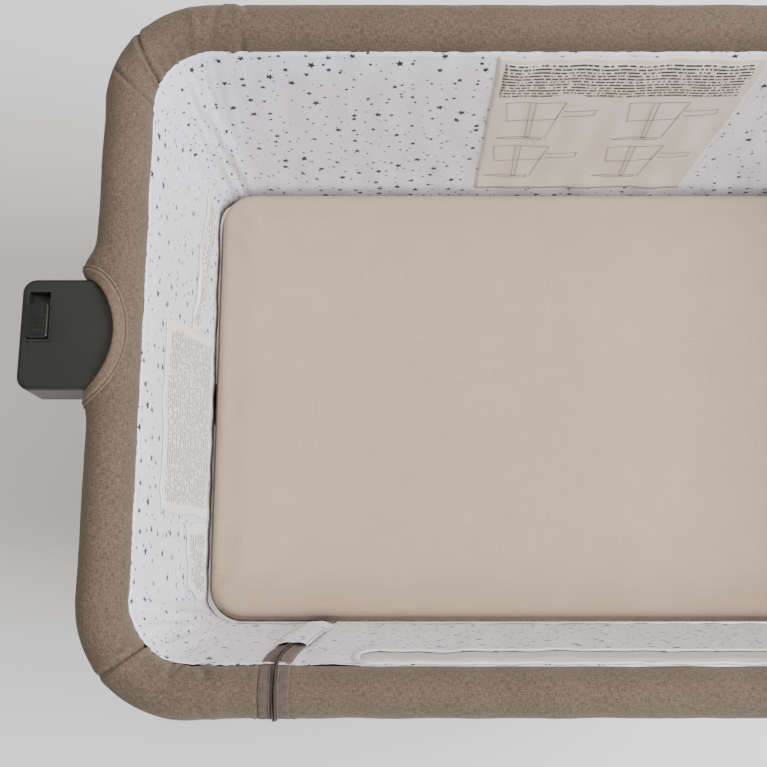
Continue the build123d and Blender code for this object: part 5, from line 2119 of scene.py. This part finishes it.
class HardPieces:
    """The frame's own plastic and metal nodes, which keep their shapes and get their finishes."""

    def __init__(self, wardrobe: Wardrobe) -> None:
        """Keeps the materials.

        Args:
            wardrobe: The materials.
        """
        both = (End.LEFT, End.RIGHT)
        by_end = {
            "leg_housing": wardrobe.housing,
            "housing_cover": wardrobe.housing,
            "leg_collar": wardrobe.housing,
            "foot_socket": wardrobe.housing,
            "foot_caps": wardrobe.housing,
            "release_button": wardrobe.button,
            "release_strap": wardrobe.zinc,
            "latch_pin": wardrobe.zinc,
            "upper_leg_tube": wardrobe.upper_paint,
            "lower_leg_tube": wardrobe.aluminium,
            "glide_cap": wardrobe.plug,
            "foot_bar": wardrobe.upper_paint,
            "foot_pads": wardrobe.rubber,
            "end_bow": wardrobe.steel_paint,
            "base_tube": wardrobe.steel_paint,
        }
        self.looks = {f"{end.name.lower()}_{name}": look for end in both for name, look in by_end.items()}
        for name in (
            "far_rail", "drop_rail", "rail_joiners", "far_base_tube", "near_base_tube", "drop_arms",
            "hinge_brackets"
        ):
            self.looks[name] = wardrobe.steel_paint
        for name in ("bow_end_plugs", "drop_rail_plugs"):
            self.looks[name] = wardrobe.plug
        for name in ("hinge_pins", "cover_screws"):
            self.looks[name] = wardrobe.zinc
        self.looks["base_board"] = wardrobe.board

    def build(self) -> None:
        """Dresses every node that shows."""
        for name, look in self.looks.items():
            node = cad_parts[name]
            if not node.data.materials:
                node.data.materials.append(look)
            for index in range(len(node.material_slots)):
                node.material_slots[index].material = look
            LOG.info("%s dressed in %s", name, look.name)


# ---------------------------------------------------------------- stage


@dataclass(frozen=True)
class Lamp:
    """One soft studio light."""

    name: str
    place: tuple[float, float, float]
    aim: tuple[float, float, float]
    size: float
    power: float
    colour: Colour


class Studio:
    """The floor, the lights and the camera."""

    lens: float = 46.94
    tilt: float = 11.8
    above_rail: float = 0.844
    from_left: float = 0.2535
    from_middle: float = 0.217
    lamps = (
        Lamp("window_light", (1.7, -0.3, 2.6), (-0.4, 0.0, 0.5), 1.5, 165.0, (0.95, 0.97, 1.0)),
        Lamp("ceiling_light", (0.1, 0.9, 3.0), (-0.1, 0.0, 0.4), 1.8, 30.0, (1.0, 0.92, 0.82)),
        Lamp("front_fill", (-1.2, -2.6, 1.8), (0.0, 0.0, 0.4), 1.8, 12.0, (1.0, 0.96, 0.90)),
    )

    def __init__(self, layout: Layout) -> None:
        """Keeps the sizes.

        Args:
            layout: The sizes.
        """
        self.layout = layout

    def build(self) -> None:
        """Makes the camera, the floor and the lights."""
        layout = self.layout
        data = bpy.data.cameras.new("view")
        data.lens = self.lens
        data.sensor_width = 36.0
        data.clip_start = 0.01
        camera = bpy.data.objects.new("view", data)
        outer = layout.rail_x + layout.sleeve_r
        camera.location = (
            self.from_left - outer, layout.centre_y - self.from_middle, layout.rail_z + self.above_rail
        )
        camera.rotation_euler = (math.radians(self.tilt), 0.0, 0.0)
        bpy.context.collection.objects.link(camera)
        bpy.context.scene.camera = camera
        self.floor()
        for lamp in self.lamps:
            light = bpy.data.lights.new(lamp.name, "AREA")
            light.size = lamp.size
            light.energy = lamp.power
            light.color = lamp.colour
            holder = bpy.data.objects.new(lamp.name, light)
            holder.location = lamp.place
            aim = Vector(lamp.aim) - Vector(lamp.place)
            holder.rotation_euler = aim.to_track_quat("-Z", "Y").to_euler()
            bpy.context.collection.objects.link(holder)
        world = bpy.data.worlds.new("soft_room")
        world.use_nodes = True
        world.node_tree.nodes["Background"].inputs["Color"].default_value = (1.0, 0.97, 0.94, 1.0)
        world.node_tree.nodes["Background"].inputs["Strength"].default_value = 0.38
        bpy.context.scene.world = world

    def floor(self) -> None:
        """Makes the plain pale floor."""
        mesh = bpy.data.meshes.new("floor")
        half = 9.0
        mesh.from_pydata(
            [(-half, -half, 0), (half, -half, 0), (half, half, 0), (-half, half, 0)], [], [(0, 1, 2, 3)]
        )
        floor = bpy.data.objects.new("floor", mesh)
        bpy.context.collection.objects.link(floor)
        material = bpy.data.materials.new("pale_floor")
        material.use_nodes = True
        shader = material.node_tree.nodes["Principled BSDF"]
        shader.inputs["Base Color"].default_value = (0.98, 0.98, 0.98, 1.0)
        shader.inputs["Roughness"].default_value = 0.9
        mesh.materials.append(material)


def main() -> None:
    """Builds every piece in order."""
    logging.basicConfig(level=logging.INFO, format="%(name)s: %(message)s")
    layout = Layout.measure()
    path = RailPath(layout)
    Studio(layout).build()
    wardrobe = Wardrobe()
    repeater = Repeater()
    sleeve = RailSleeve(layout, path, wardrobe, repeater)
    sleeve.build()
    walls = ClothWalls(layout, path, wardrobe, repeater)
    walls.build()
    SewnLabels(walls, wardrobe).build()
    SideZips(sleeve, walls, wardrobe, repeater).build()
    Mattress(layout, wardrobe).build()
    HardPieces(wardrobe).build()
    ReturnSprings(wardrobe).build()


if __name__ == "__main__":
    main()
